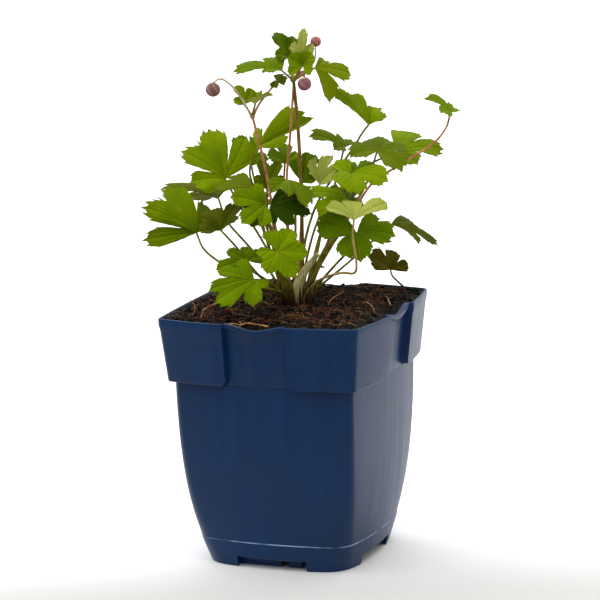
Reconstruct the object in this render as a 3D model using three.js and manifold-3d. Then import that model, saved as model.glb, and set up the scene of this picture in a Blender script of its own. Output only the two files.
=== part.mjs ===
// A young japanese anemone in its square nursery pot, in millimetres, +Z up.
// The plant is described in its own frame: x to the right of the front view, y away from
// the viewer and z above the pot's rim. That frame is turned about Z by PLANT_TURN.
import * as THREE from "three";
import Module from "manifold-3d";

const wasm = await Module();
wasm.setup();

// Gaps
const GAP = 0.35; // clear space kept between neighbouring solids

// Pot
const POT_HEIGHT = 166;
const WALL = 1.5;
const RIM_HALF = 67.5; // centre to a rim corner, measured along each side
const RIM_CORNER_RADIUS = 4;
const COLLAR_BOWS = [7, 7, 7, 1.6]; // how far the rim stands out midway: front, right, back, left
const RECESSED = [true, true, true, false]; // the same sides: whether they have a recess panel
const COLLAR_HEIGHT = 42;
const COLLAR_DRAW = 4; // how much narrower the collar is at its foot
const BODY_HALF = 61.5; // centre to a side, just under the collar
const BASE_HALF = 49.6;
const BODY_CORNER_RADIUS = 5;
const BASE_CORNER_RADIUS = 20;
const TAPER_POWER = 3.4;
const BODY_BOW = 3.5;
const RECESS_HALF = 20.2; // half the width of the plain panel between the collar plates
const RECESS_DEPTH = 5;
const RECESS_LIP_HEIGHT = 3.4;
const RECESS_LIP_SINK = 2.6;
const RIM_DIP = 3.5; // how far the rim drops over the recess
const STEP_RUN = 0.6; // width of the slope at a recess edge
const STEP_RISE = 0.4; // height of the slope under the collar and under the recess lip
const DIP_SPREAD = 2.2; // the dip would reach the rim's height at this many recess halves
const SIDE_QUARTER = 0.66; // share of a half side where its bow gets one more point
const MIDDLE_HEIGHT = 55; // where the straight and the curved part of the body meet
const SEAM_HEIGHT = 18;
const SEAM_STEP = 0.5;
const FLOOR_UNDER = 9;
const FLOOR_TOP = 10.5;
const NOTCH_WIDTH = 47.5;
const NOTCH_HEIGHT = 6.4;
const FOOT_SETBACK = 4;
const FOOT_CLEAR = 0.8; // the inner feet stop this far above the ground
const FOOT_LONG = 28;
const FOOT_SHORT = 9.5;
const FOOT_SLOT = 4.7;
const FOOT_SINK = 2; // how far an inner foot runs into the pot's wall beside the notch
const DRAIN_RADIUS = 5;
const DRAIN_PLACE = 27;
const DRAIN_SIDES = 10;

// Soil
const SOIL_EDGE_DROP = 0.7; // soil below the rim where it meets the wall
const SOIL_BANK = 4; // width of the slope from the wall to the open soil
const SOIL_RISE = 2;
const SOIL_ROUGHNESS = 0.9;
const SOIL_RING_SHARES = [1, 0.8, 0.58, 0.34];

// Plant
const PLANT_TURN = 21.56; // degrees about Z
const CROWN = { x: 2, y: -6, radius: 11, under: 7, over: 3 };
const CROWN_SIDES = 14;
const ROOT_DEPTH = 3; // stalks start this far down in the crown
const STRAIGHT_RISE = 5; // and leave the soil upright for this height
const HIGH_LEAF = 75; // stalks of leaves above this height stand in the inner ring
const INNER_RING = 0.35; // shares of the crown's radius
const OUTER_RING = 0.6;
const BLADE_THICKNESS = 0.95;
const BLADE_RINGS = [0.5, 1];
const OUTER_LOBE_HALF = 42; // degrees taken by the free half of an outer lobe
const STALK_SIDES = 5;
const STALK_STEPS = 5;
const STALK_FOOT_RADIUS = 1.15;
const STALK_TIP_RADIUS = 0.75;
const SMALL_STALK = { foot: 0.8, tip: 0.6 };
const BLADE_ARCH = 0.1; // rise of a blade between hub and tip, as a share of its length
const BLADE_FOLD = 0.2; // rise beside the ribs, as a share of the way from the hub

// Half the outline of a lobe: share of its half angle, then share of its length.
const TOOTHED = [[0, 1], [0.15, 0.91], [0.34, 0.94], [0.56, 0.87], [0.8, 0.8]];
const PLAIN = [[0, 1], [0.34, 0.93], [0.75, 0.84]];
const BASE_CUT = 0.25; // share of the blade left at its two edges by the stalk

// Leaves: the hub is where the stalk meets the blade, and the tips are those of its lobes,
// in order around the leaf. cleft is the share of the blade that the cuts between the lobes
// leave. outer gives the degrees taken by the free halves of the first and the last lobe.
// via lists points that the stalk passes, and plain leaves have fewer teeth.
const LEAVES = [
  { name: "upper_left", hub: [-43, 14, 81],
    tips: [[-66, -2, 82], [-72, 14, 100], [-54, 34, 111], [-29, 26, 106]],
    cleft: [0.12, 0.85, 0.12], via: [[-22, 8, 44], [-36, 12, 67]] },
  { name: "left_low", hub: [-62, -14, 51],
    tips: [[-98, -34, 50], [-96, -34, 73], [-85, -14, 80], [-55, 4, 66]],
    cleft: [0.15, 0.93, 0.4], outer: [14, 42], via: [[-20, -18, 16], [-47, -20, 32], [-58, -16, 41]] },
  { name: "left_back", hub: [-48, 20, 67], tips: [[-69, 4, 69], [-86, 22, 73], [-57, 46, 71]],
    cleft: 0.2 },
  { name: "left_inner", hub: [-46, -24, 54],
    tips: [[-59, -34, 55], [-50, -10, 66], [-34, -6, 68], [-34, -28, 63]],
    cleft: 0.6, outer: [30, 30], plain: true, via: [[-22, -18, 22], [-37, -22, 43]] },
  { name: "left_front", hub: [-17, -34, 72],
    tips: [[-20, -48, 60], [-33, -50, 62], [-40, -40, 78], [-24, -30, 85]],
    cleft: [0.6, 0.4, 0.7], outer: [30, 25] },
  { name: "long_left", hub: [-25, -9, 79], tips: [[-35, -22, 73], [-51, -8, 78], [-40, 10, 83]],
    cleft: 0.5, outer: [42, 25] },
  { name: "inner_dark", hub: [-20, -14, 63], tips: [[-27, -22, 55], [-33, -12, 63]],
    cleft: 0.5, plain: true },
  { name: "dark_mid", hub: [-14, -30, 70],
    tips: [[-11, -40, 60], [2, -42, 59], [13, -38, 66], [10, -30, 76], [-2, -24, 79]],
    cleft: 0.8, outer: [20, 25], plain: true },
  { name: "mid_front", hub: [-3, -30, 87], tips: [[-13, -42, 81], [-2, -48, 79], [9, -44, 70]],
    cleft: [0.75, 0.5], via: [[1, -12, 30], [2, -16, 60], [1, -21, 78]] },
  { name: "inner_upper", hub: [-16, 6, 75],
    tips: [[-24, 0, 85], [-19, 12, 94], [-8, 12, 93], [-5, 4, 84]],
    cleft: [0.7, 0.75, 0.7], plain: true },
  { name: "right_mid", hub: [35, -22, 72],
    tips: [[28, -34, 69], [16, -38, 63], [10, -22, 77], [24, -8, 78]],
    cleft: 0.5, outer: [42, 15], via: [[15, -7, 24], [32, -7, 50], [35, -11, 65]] },
  { name: "pale", hub: [39, -54, 64], tips: [[21, -54, 73], [38, -38, 73], [61, -42, 72]],
    cleft: 0.35, outer: [30, 20],
    via: [[14, -14, 16], [30, -34, 26], [39, -44, 28], [40, -50, 37], [38, -53, 53]] },
  { name: "right_low", hub: [41, -28, 51],
    tips: [[54, -16, 60], [66, -36, 50], [43, -46, 35], [17, -18, 60]],
    cleft: [0.75, 0.5, 0.3], outer: [20, 30], plain: true },
  { name: "far_right", hub: [64, 4, 50], tips: [[82, -12, 39], [94, 2, 34], [80, 22, 45]],
    cleft: 0.3, outer: [20, 30], via: [[12, -8, 9], [24, -6, 18], [41, -2, 31]] },
  { name: "right_bright", hub: [38, -20, 88], tips: [[30, -12, 96], [43, -38, 77], [62, -28, 83]],
    cleft: 0.5, via: [[13, -9, 20], [27, -3, 52], [35, -5, 76]] },
  { name: "right_edge", hub: [56, 10, 97], tips: [[72, -4, 86], [67, 34, 100], [43, 30, 100], [38, 0, 96]],
    cleft: [0.35, 0.7, 0.7], plain: true },
  { name: "right_top", hub: [70, 34, 93], tips: [[83, 20, 86], [101, 38, 92], [81, 58, 101]],
    cleft: 0.35, via: [[9, 4, 30], [21, 14, 60], [48, 26, 84]] },
  { name: "curl_right", hub: [105, 26, 119], tips: [[98, 14, 121], [88, 28, 129], [108, 36, 121]],
    cleft: 0.4, plain: true,
    via: [[18, -1, 26], [40, 3, 60], [54, 4, 79], [68, 6, 87], [81, 10, 94], [94, 18, 101],
      [102, 23, 110]] },
  { name: "top_right", hub: [51, 10, 115],
    tips: [[28, 10, 138], [43, 22, 135], [54, 22, 125], [63, 4, 121]],
    cleft: [0.85, 0.8, 0.7], outer: [12, 25], plain: true,
    via: [[6, 4, 30], [15, 16, 60], [34, 34, 86], [42, 37, 97], [47, 26, 107]] },
  { name: "side_right", hub: [35, 24, 98], tips: [[28, 12, 99], [12, 20, 107], [35, 38, 102]],
    cleft: 0.35, plain: true },
  { name: "pale_under", hub: [18, 0, 78], tips: [[30, -10, 90], [27, 4, 97], [13, 12, 94]],
    cleft: 0.45, outer: [42, 14], plain: true },
  { name: "stem_left", hub: [-4, 26, 88], tips: [[-16, 20, 95], [-3, 44, 98], [5, 36, 94]],
    cleft: 0.35, plain: true },
  { name: "yellow_up", hub: [-21, 10, 102], tips: [[-22, 22, 113], [-1, 0, 110], [16, 20, 119]],
    cleft: 0.25, outer: [20, 20], via: [[-18, 2, 60], [-27, 9, 87]] },
  { name: "front", hub: [-10, -55, 45],
    tips: [[-18, -46, 57], [-24, -55, 45], [-17, -64, 32], [1, -64, 29], [10, -56, 43], [0, -46, 58]],
    cleft: 0.78, outer: [20, 20], plain: true },
  { name: "low_left", hub: [-25, -54, 27],
    tips: [[-36, -45, 38], [-49, -50, 32], [-55, -60, 22], [-51, -66, 14], [-26, -68, 12], [-16, -62, 24]],
    cleft: [0.75, 0.5, 0.9, 0.4, 0.75], outer: [25, 25], plain: true },
  { name: "low_left_back", hub: [-30, -40, 37],
    tips: [[-50, -44, 32], [-43, -38, 43], [-32, -34, 45], [-19, -36, 39]],
    cleft: 0.6, plain: true },
  { name: "dark_up", hub: [-26, 34, 86], tips: [[-34, 46, 105], [-24, 56, 102], [-18, 44, 93]],
    cleft: 0.5, plain: true, via: [[-8, 4, 30], [-18, 18, 60], [-24, 27, 76]] },
  { name: "behind_mid", hub: [7, 10, 78], tips: [[4, 14, 94], [11, 24, 96], [16, 8, 81]],
    cleft: 0.4, plain: true },
  { name: "back_right", hub: [35, 24, 60], tips: [[24, 28, 63], [40, 44, 66], [48, 40, 57]],
    cleft: 0.4, plain: true },
  { name: "back_left", hub: [-20, 30, 60], tips: [[-33, 44, 57], [-20, 56, 65], [-11, 40, 58]],
    cleft: 0.4, plain: true },
  { name: "rear_mid", hub: [6, 46, 60], tips: [[-8, 58, 62], [8, 70, 66], [20, 58, 62]],
    cleft: 0.4, plain: true },
  { name: "rear_right", hub: [44, 50, 74], tips: [[34, 66, 80], [56, 66, 80], [62, 48, 76]],
    cleft: 0.4, plain: true },
  { name: "rear_low", hub: [8, 22, 16], tips: [[-4, 30, 18], [10, 36, 16], [20, 28, 18]],
    cleft: 0.5, plain: true },
];

// The small leaf that comes up from a runner, away from the crown.
const RUNNER_LEAF = { name: "runner", hub: [64, 34, 14], tips: [[49, 26, 25], [66, 44, 25], [76, 38, 17]],
  cleft: 0.35, plain: true };
const RUNNER_ROUTE = [[72.5, 30, -6], [72.5, 30, 2], [69, 31, 6], [65, 33, 10]];

// Leaves of the two flower stems, with the point of the stem that each springs from.
const STEM_LEAVES = [
  { name: "whorl_left", root: [3, -4, 147], hub: [-4, -8, 154],
    tips: [[-17, -18, 154], [-36, -8, 153], [-13, 8, 160]], cleft: 0.4 },
  { name: "whorl_upper_left", root: [3, -4, 147], hub: [0, 5, 161],
    tips: [[-9, -2, 164], [-9, 10, 177], [4, 15, 173]], cleft: [0.6, 0.8], plain: true },
  { name: "whorl_pale", root: [3, -4, 147], hub: [9, -2, 158],
    tips: [[16, -6, 171], [11, 0, 181], [4, 0, 172]], cleft: 0.85, outer: [25, 25], plain: true },
  { name: "whorl_front", root: [3, -4, 147], hub: [9, -13, 158],
    tips: [[0, -21, 153], [0, -14, 164], [16, -15, 166], [14, -22, 153]],
    cleft: 0.7, outer: [20, 20], plain: true },
  { name: "whorl_right", root: [3, -4, 147], hub: [17, -4, 155],
    tips: [[26, -14, 133], [41, 2, 149], [24, 10, 158]], cleft: 0.3, outer: [12, 20] },
  { name: "left_whorl_broad", root: [-24, -12, 126], hub: [-29, -9, 133],
    tips: [[-36, -12, 137], [-34, -4, 145], [-24, 0, 142]], cleft: 0.5, plain: true },
  { name: "left_whorl_side", root: [-24, -12, 126], hub: [-22, -14, 134],
    tips: [[-24, -21, 139], [-10, -18, 140], [-17, -11, 142]], cleft: 0.5, plain: true },
  { name: "left_whorl_end", root: [-9, 0, 144], hub: [-8, 0, 147],
    tips: [[-8, -9, 143], [-3, -7, 145], [-6, 6, 150]], cleft: 0.5, plain: true },
];

// Flower stems and the stalks of their buds, as points chosen along each.
const FLOWER_STEMS = [
  { foot: 1.3, tip: 1.1,
    route: [[5, -6, -3], [6, -6, 43], [6, -4, 85], [5, -4, 119], [3, -4, 147.5]] },
  { foot: 0.9, tip: 0.75,
    route: [[-3, -10, -3], [-3, -10, 57], [-3, -9, 83], [0, -7, 112], [3, -4, 144]] },
  { foot: 1.1, tip: 0.95,
    route: [[-4, -9, -3], [-7, -11, 20], [-15, -12, 82], [-18, -12, 99], [-24, -12, 126]] },
  { foot: 1, tip: 0.7,
    route: [[-24, -12, 124], [-29, -14, 135], [-38, -18, 148], [-44, -20, 151.5], [-47.5, -20, 149.6]] },
  { foot: 0.9, tip: 0.7,
    route: [[-24, -12, 124], [-20, -8, 132], [-14, -4, 139], [-9, 0, 144.5]] },
  { foot: 1, tip: 0.7,
    route: [[3, -4, 147], [12, 0, 153], [17, 2, 159], [17.6, 2, 167]] },
  { foot: 1, tip: 0.7,
    route: [[3, -4, 147], [7, -8, 152], [9.6, -12, 153.6], [10, -14, 150.9]] },
];
const KNOTS = [
  { place: [3, -4, 148], radius: 2.4 },
  { place: [-24, -12, 125.5], radius: 1.7 },
];
const BUDS = [
  { name: "bud_left", place: [-48.5, -20, 144.6], radius: 4.7, lean: [0.15, 0, 1] },
  { name: "bud_top", place: [18, 2, 171], radius: 3.5, lean: [0, 0, -1] },
  { name: "bud_middle", place: [10, -14, 146], radius: 4.5, lean: [0, 0, 1] },
];
const BUD_MERIDIANS = 10;
const BUD_RINGS = 6;
const BUD_RIB = 0.06;

// Young shoots and dry sheaths around the crown.
const SHOOTS = [
  { foot: 4.6, tip: 1.6, route: [[1, -11, -3], [2, -13, 13], [8, -13, 25], [16, -13, 35]] },
  { foot: 2.8, tip: 1, route: [[-4, -8, -3], [-6, -9, 10], [-6, -10, 21]] },
  { foot: 2.6, tip: 0.8, route: [[8, -8, -3], [12, -8, 8], [15, -9, 17]] },
];

const COLOURS = {
  pot: { color: "#1b3560", roughness: 0.45 },
  soil: { color: "#2b2018", roughness: 1 },
  leaf: { color: "#5f8f12", roughness: 0.55 },
  stalk: { color: "#7d6a34", roughness: 0.6 },
  bud: { color: "#8c4a5c", roughness: 0.6 },
};

const radians = THREE.MathUtils.degToRad;

function vector(point) {
  return new THREE.Vector3(...point);
}

// Solids

// Closed body from shared points and triangles, turned to face outwards.
function closedBody(points, faces) {
  let sixfold = 0;
  for (const [a, b, c] of faces) {
    sixfold += points[a].dot(points[b].clone().cross(points[c]));
  }
  const outward = sixfold > 0 ? faces : faces.map(([a, b, c]) => [a, c, b]);
  const mesh = new wasm.Mesh({
    numProp: 3,
    vertProperties: new Float32Array(points.flatMap((point) => point.toArray())),
    triVerts: new Uint32Array(outward.flat()),
  });
  return new wasm.Manifold(mesh);
}

// Skin over closed rings with the same number of points, each end closed from its middle.
function loft(rings) {
  const count = rings[0].length;
  const points = rings.flat();
  const faces = [];
  for (let level = 0; level + 1 < rings.length; level += 1) {
    for (let k = 0; k < count; k += 1) {
      const a = level * count + k;
      const b = level * count + ((k + 1) % count);
      faces.push([a, b, b + count], [a, b + count, a + count]);
    }
  }
  const ends = [[0, 1], [rings.length - 1, -1]];
  for (const [level, sense] of ends) {
    const middle = new THREE.Vector3();
    rings[level].forEach((point) => middle.add(point));
    points.push(middle.divideScalar(count));
    for (let k = 0; k < count; k += 1) {
      const a = level * count + k;
      const b = level * count + ((k + 1) % count);
      faces.push(sense > 0 ? [points.length - 1, b, a] : [points.length - 1, a, b]);
    }
  }
  return closedBody(points, faces);
}

function box(low, high) {
  const size = high.map((value, k) => value - low[k]);
  return wasm.Manifold.cube(size).translate(low);
}

// Tapered rod along a smooth curve through the route.
function rod(route, footRadius, tipRadius, steps = STALK_STEPS) {
  const curve = new THREE.CatmullRomCurve3(route.map(vector), false, "centripetal");
  const frames = curve.computeFrenetFrames(steps, false);
  const rings = [];
  for (let step = 0; step <= steps; step += 1) {
    const share = step / steps;
    const middle = curve.getPointAt(share);
    const radius = THREE.MathUtils.lerp(footRadius, tipRadius, share);
    const ring = [];
    for (let side = 0; side < STALK_SIDES; side += 1) {
      const angle = (2 * Math.PI * side) / STALK_SIDES;
      ring.push(middle.clone()
        .addScaledVector(frames.normals[step], radius * Math.cos(angle))
        .addScaledVector(frames.binormals[step], radius * Math.sin(angle)));
    }
    rings.push(ring);
  }
  return loft(rings);
}

function join(solids) {
  return wasm.Manifold.union(solids);
}

function toMesh(name, solid, look) {
  const { vertProperties, triVerts } = solid.getMesh();
  const geometry = new THREE.BufferGeometry();
  geometry.setAttribute("position", new THREE.BufferAttribute(new Float32Array(vertProperties), 3));
  geometry.setIndex(new THREE.BufferAttribute(new Uint32Array(triVerts), 1));
  geometry.computeVertexNormals();
  const material = new THREE.MeshStandardMaterial({ metalness: 0, ...look });
  const mesh = new THREE.Mesh(geometry, material);
  mesh.name = name;
  return mesh;
}

// Pot

function taperShare(z) {
  return ((POT_HEIGHT - z) / POT_HEIGHT) ** TAPER_POWER;
}

// Sizes of the plain body at a height, without the collar.
function bodySize(z) {
  const share = taperShare(z);
  return {
    half: THREE.MathUtils.lerp(BODY_HALF, BASE_HALF, share),
    radius: THREE.MathUtils.lerp(BODY_CORNER_RADIUS, BASE_CORNER_RADIUS, share),
    bows: COLLAR_BOWS.map(() => BODY_BOW),
  };
}

function collarSize(z) {
  const down = (POT_HEIGHT - z) / COLLAR_HEIGHT;
  const cornerReach = RIM_CORNER_RADIUS * (1 - Math.SQRT1_2);
  return {
    half: RIM_HALF + cornerReach - COLLAR_DRAW * down,
    radius: RIM_CORNER_RADIUS,
    bows: COLLAR_BOWS.map((bow) => bow - down),
  };
}

// One closed outline of the pot: bowed sides joined by round corners. inset moves it
// inwards, sink sets the recess panel back, and height gives z at a place along a side.
function potOutline({ half, radius, bows }, inset, sink, height) {
  const round = Math.max(radius - inset, 0.6);
  const centre = half - inset - round;
  const turns = bows.map((bow) => Math.atan2(2 * bow, centre + round));
  const recess = RECESS_HALF + inset;
  const points = [];
  bows.forEach((bow, side) => {
    const spin = (side * Math.PI) / 2;
    const endX = centre + round * Math.sin(turns[side]);
    const endY = centre + round * Math.cos(turns[side]);
    const quarter = SIDE_QUARTER * endX;
    const along = [-endX, -quarter, -recess - STEP_RUN, -recess, -recess / 2, 0,
      recess / 2, recess, recess + STEP_RUN, quarter, endX];
    for (const x of along) {
      const inRecess = RECESSED[side] && Math.abs(x) <= recess;
      const out = endY + bow * (1 - (x / endX) ** 2) - (inRecess ? sink : 0);
      points.push(turned(x, -out, height(x, inRecess), spin));
    }
    const end = Math.PI / 2 - turns[(side + 1) % turns.length];
    for (const share of [0.25, 0.5, 0.75]) {
      const angle = THREE.MathUtils.lerp(turns[side], end, share);
      const x = centre + round * Math.sin(angle);
      const y = centre + round * Math.cos(angle);
      points.push(turned(x, -y, height(x, false), spin));
    }
  });
  return points;
}

function turned(x, y, z, spin) {
  return new THREE.Vector3(x, y, z).applyAxisAngle(new THREE.Vector3(0, 0, 1), spin);
}

// Height of the rim, or of a line kept below it, at a place along a side.
function rimHeight(drop) {
  return (x, inRecess) => {
    const wave = Math.cos((Math.PI * x) / (DIP_SPREAD * RECESS_HALF));
    return POT_HEIGHT - drop - (inRecess ? RIM_DIP * wave ** 2 : 0);
  };
}

function level(z) {
  return () => z;
}

function potShell() {
  const foot = POT_HEIGHT - COLLAR_HEIGHT;
  const body = (z, inset) => potOutline(bodySize(z), inset, 0, level(z));
  const top = collarSize(POT_HEIGHT);
  return loft([
    body(FLOOR_UNDER, WALL),
    body(0, WALL),
    body(0, 0),
    body(SEAM_HEIGHT - SEAM_STEP, SEAM_STEP),
    body(SEAM_HEIGHT, 0),
    body(MIDDLE_HEIGHT, 0),
    body(foot, 0),
    potOutline(collarSize(foot), 0, RECESS_DEPTH, level(foot + STEP_RISE)),
    potOutline(top, 0, RECESS_DEPTH, rimHeight(RECESS_LIP_HEIGHT)),
    potOutline(top, 0, RECESS_LIP_SINK, rimHeight(RECESS_LIP_HEIGHT - STEP_RISE)),
    potOutline(top, 0, RECESS_LIP_SINK, rimHeight(0)),
    potOutline(top, WALL, RECESS_DEPTH, rimHeight(0)),
    potOutline(collarSize(foot), WALL, RECESS_DEPTH, level(foot + WALL + STEP_RISE)),
    body(foot + WALL, WALL),
    body(MIDDLE_HEIGHT, WALL),
    body(FLOOR_TOP, WALL),
  ]);
}

function potNotches() {
  const half = NOTCH_WIDTH / 2;
  const reach = BASE_HALF + 10;
  const inner = BASE_HALF - FOOT_SETBACK;
  const cuts = [];
  for (let side = 0; side < 4; side += 1) {
    const cut = box([-half, -reach, -1], [half, -inner + FOOT_SINK, NOTCH_HEIGHT]);
    cuts.push(cut.rotate([0, 0, side * 90]));
  }
  return join(cuts);
}

// The short walls set back behind each notch, one long and one short with a slot between.
function potFeet() {
  const front = -(BASE_HALF - FOOT_SETBACK);
  const left = -NOTCH_WIDTH / 2;
  const slot = left + FOOT_LONG;
  const spans = [[left - FOOT_SINK, slot], [slot + FOOT_SLOT, slot + FOOT_SLOT + FOOT_SHORT]];
  const feet = [];
  for (let side = 0; side < 4; side += 1) {
    for (const [from, to] of spans) {
      const foot = box([from, front, FOOT_CLEAR], [to, front + WALL, FLOOR_UNDER + WALL / 3]);
      feet.push(foot.rotate([0, 0, side * 90]));
    }
  }
  return join(feet);
}

function drainHoles() {
  const holes = [];
  for (const x of [-DRAIN_PLACE, DRAIN_PLACE]) {
    for (const y of [-DRAIN_PLACE, DRAIN_PLACE]) {
      const hole = wasm.Manifold.cylinder(FLOOR_TOP, DRAIN_RADIUS, DRAIN_RADIUS, DRAIN_SIDES);
      holes.push(hole.translate([x, y, FLOOR_TOP / 2]));
    }
  }
  return join(holes);
}

function makePot() {
  return potShell().subtract(potNotches()).add(potFeet()).subtract(drainHoles());
}

// Soil

// Uneven ground: two crossing waves about 20 mm long and a shorter one.
function roughness(x, y) {
  const broad = Math.sin(x * 0.31 + y * 0.13) * Math.cos(y * 0.27 - x * 0.09);
  return broad + 0.5 * Math.sin(x * 0.83 + y * 0.71);
}

function makeSoil(crownPlace) {
  const foot = POT_HEIGHT - COLLAR_HEIGHT;
  const inset = WALL + GAP;
  const body = (z) => potOutline(bodySize(z), inset, 0, level(z));
  const edge = potOutline(collarSize(POT_HEIGHT), inset, RECESS_DEPTH, rimHeight(SOIL_EDGE_DROP));
  const rings = [
    body(FLOOR_TOP + GAP),
    body(MIDDLE_HEIGHT),
    body(foot + WALL + 2 * GAP),
    potOutline(collarSize(foot), inset, RECESS_DEPTH, level(foot + WALL + STEP_RISE + 2 * GAP)),
    edge,
  ];
  const bank = potOutline(collarSize(POT_HEIGHT), inset + SOIL_BANK, RECESS_DEPTH, level(POT_HEIGHT));
  for (const share of SOIL_RING_SHARES) {
    rings.push(bank.map((point) => {
      const x = THREE.MathUtils.lerp(crownPlace.x, point.x, share);
      const y = THREE.MathUtils.lerp(crownPlace.y, point.y, share);
      const rise = SOIL_RISE * Math.sin(Math.PI * share) + SOIL_ROUGHNESS * roughness(x, y);
      return new THREE.Vector3(x, y, POT_HEIGHT + rise);
    }));
  }
  return loft(rings);
}

// Leaves

// Flat frame of a leaf and the place of each lobe in it: angle, length and slope.
function leafFrame(leaf) {
  const hub = vector(leaf.hub);
  const reach = leaf.tips.map((tip) => vector(tip).sub(hub));
  const normal = new THREE.Vector3();
  for (let k = 0; k + 1 < reach.length; k += 1) {
    normal.add(reach[k + 1].clone().normalize().cross(reach[k].clone().normalize()));
  }
  normal.normalize();
  if (normal.z < 0) normal.negate();
  const middle = reach[Math.floor(reach.length / 2)];
  const ahead = middle.clone().addScaledVector(normal, -middle.dot(normal)).normalize();
  const left = normal.clone().cross(ahead);
  const outer = leaf.outer ?? [OUTER_LOBE_HALF, OUTER_LOBE_HALF];
  const lobes = reach.map((arm, k) => {
    const length = Math.hypot(arm.dot(ahead), arm.dot(left));
    const angle = Math.atan2(arm.dot(left), arm.dot(ahead));
    const slope = arm.dot(normal) / length;
    return { angle, length, slope, order: k, outer: radians(outer[k === 0 ? 0 : 1]) };
  });
  lobes.sort((a, b) => a.angle - b.angle);
  return { hub, normal, ahead, left, lobes };
}

// Value of a lobe's property at an angle, blended between neighbouring lobes.
function between(lobes, angle, key) {
  if (angle <= lobes[0].angle) return lobes[0][key];
  for (let k = 0; k + 1 < lobes.length; k += 1) {
    const from = lobes[k];
    const to = lobes[k + 1];
    if (angle <= to.angle) {
      const share = (angle - from.angle) / (to.angle - from.angle);
      return THREE.MathUtils.lerp(from[key], to[key], share * share * (3 - 2 * share));
    }
  }
  return lobes[lobes.length - 1][key];
}

// Length that is left of the blade in the cut that follows a lobe.
function cutDepth(lobes, leaf, k) {
  if (k + 1 === lobes.length) return lobes[k].length * BASE_CUT;
  const gap = Math.min(lobes[k].order, lobes[k + 1].order);
  const share = Array.isArray(leaf.cleft) ? leaf.cleft[gap] : leaf.cleft;
  return (share * (lobes[k].length + lobes[k + 1].length)) / 2;
}

// Spokes of the blade: its toothed outline as angles and lengths about the hub.
function leafSpokes(lobes, leaf) {
  const pattern = leaf.plain ? PLAIN : TOOTHED;
  const spokes = [];
  lobes.forEach((lobe, k) => {
    const before = k > 0 ? (lobe.angle - lobes[k - 1].angle) / 2 : lobe.outer;
    const after = k + 1 < lobes.length ? (lobes[k + 1].angle - lobe.angle) / 2 : lobe.outer;
    if (k === 0) spokes.push({ angle: lobe.angle - before, length: lobe.length * BASE_CUT });
    for (const [turn, share] of pattern.slice(1).reverse()) {
      spokes.push({ angle: lobe.angle - turn * before, length: lobe.length * share });
    }
    spokes.push({ angle: lobe.angle, length: lobe.length });
    for (const [turn, share] of pattern.slice(1)) {
      spokes.push({ angle: lobe.angle + turn * after, length: lobe.length * share });
    }
    spokes.push({ angle: lobe.angle + after, length: cutDepth(lobes, leaf, k) });
  });
  return spokes;
}

// Height of the blade over its flat frame.
function leafRise(lobes, leaf, angle, distance) {
  const length = between(lobes, angle, "length");
  const share = distance / length;
  const offRib = Math.min(...lobes.map((lobe) => Math.abs(Math.sin(angle - lobe.angle))));
  return between(lobes, angle, "slope") * distance
    + BLADE_ARCH * length * 4 * share * (1 - share)
    + BLADE_FOLD * distance * offRib;
}

function makeBlade(leaf) {
  const { hub, normal, ahead, left, lobes } = leafFrame(leaf);
  const spokes = leafSpokes(lobes, leaf);
  const sheet = [hub.clone()];
  for (const { angle, length } of spokes) {
    for (const ring of BLADE_RINGS) {
      const distance = length * ring;
      sheet.push(hub.clone()
        .addScaledVector(ahead, distance * Math.cos(angle))
        .addScaledVector(left, distance * Math.sin(angle))
        .addScaledVector(normal, leafRise(lobes, leaf, angle, distance)));
    }
  }
  const count = sheet.length;
  const points = [1, -1].flatMap((sense) => sheet.map((point) =>
    point.clone().addScaledVector(normal, (sense * BLADE_THICKNESS) / 2)));
  const faces = [];
  const bothFaces = (a, b, c) => faces.push([a, b, c], [a + count, c + count, b + count]);
  const at = (spoke, ring) => 1 + spoke * BLADE_RINGS.length + ring;
  const edge = [0, at(0, 0), at(0, 1)];
  for (let k = 0; k + 1 < spokes.length; k += 1) {
    bothFaces(0, at(k, 0), at(k + 1, 0));
    bothFaces(at(k, 0), at(k, 1), at(k + 1, 1));
    bothFaces(at(k, 0), at(k + 1, 1), at(k + 1, 0));
    edge.push(at(k + 1, 1));
  }
  edge.push(at(spokes.length - 1, 0));
  edge.forEach((a, k) => {
    const b = edge[(k + 1) % edge.length];
    faces.push([b, a, a + count], [b, a + count, b + count]);
  });
  return closedBody(points, faces);
}

// Where a stalk ends under its blade, and the direction it arrives in.
function stalkEnd(leaf) {
  const { hub, normal } = leafFrame(leaf);
  const clear = BLADE_THICKNESS / 2 + GAP + 0.7 * STALK_TIP_RADIUS;
  const end = hub.clone().addScaledVector(normal, -clear);
  const arrive = normal.clone().add(new THREE.Vector3(0, 0, 1)).normalize();
  return { end, arrive };
}

// Route of a leaf stalk from the crown, rising steeply and bending out to its leaf.
function stalkRoute(leaf) {
  const { end, arrive } = stalkEnd(leaf);
  const bearing = Math.atan2(end.y - CROWN.y, end.x - CROWN.x);
  const ring = CROWN.radius * (end.z > HIGH_LEAF ? INNER_RING : OUTER_RING);
  const x = CROWN.x + ring * Math.cos(bearing);
  const y = CROWN.y + ring * Math.sin(bearing);
  const root = new THREE.Vector3(x, y, -ROOT_DEPTH);
  if (leaf.via) return [root.toArray(), [x, y, STRAIGHT_RISE], ...leaf.via, end.toArray()];
  const reach = end.distanceTo(root);
  const leave = new THREE.Vector3(0.12 * Math.cos(bearing), 0.12 * Math.sin(bearing), 0.4);
  const rise = root.clone().addScaledVector(leave, reach);
  const settle = end.clone().addScaledVector(arrive, -0.22 * reach);
  const bend = new THREE.CubicBezierCurve3(root, rise, settle, end);
  return bend.getPoints(STALK_STEPS - 1).map((point) => point.toArray());
}

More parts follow.
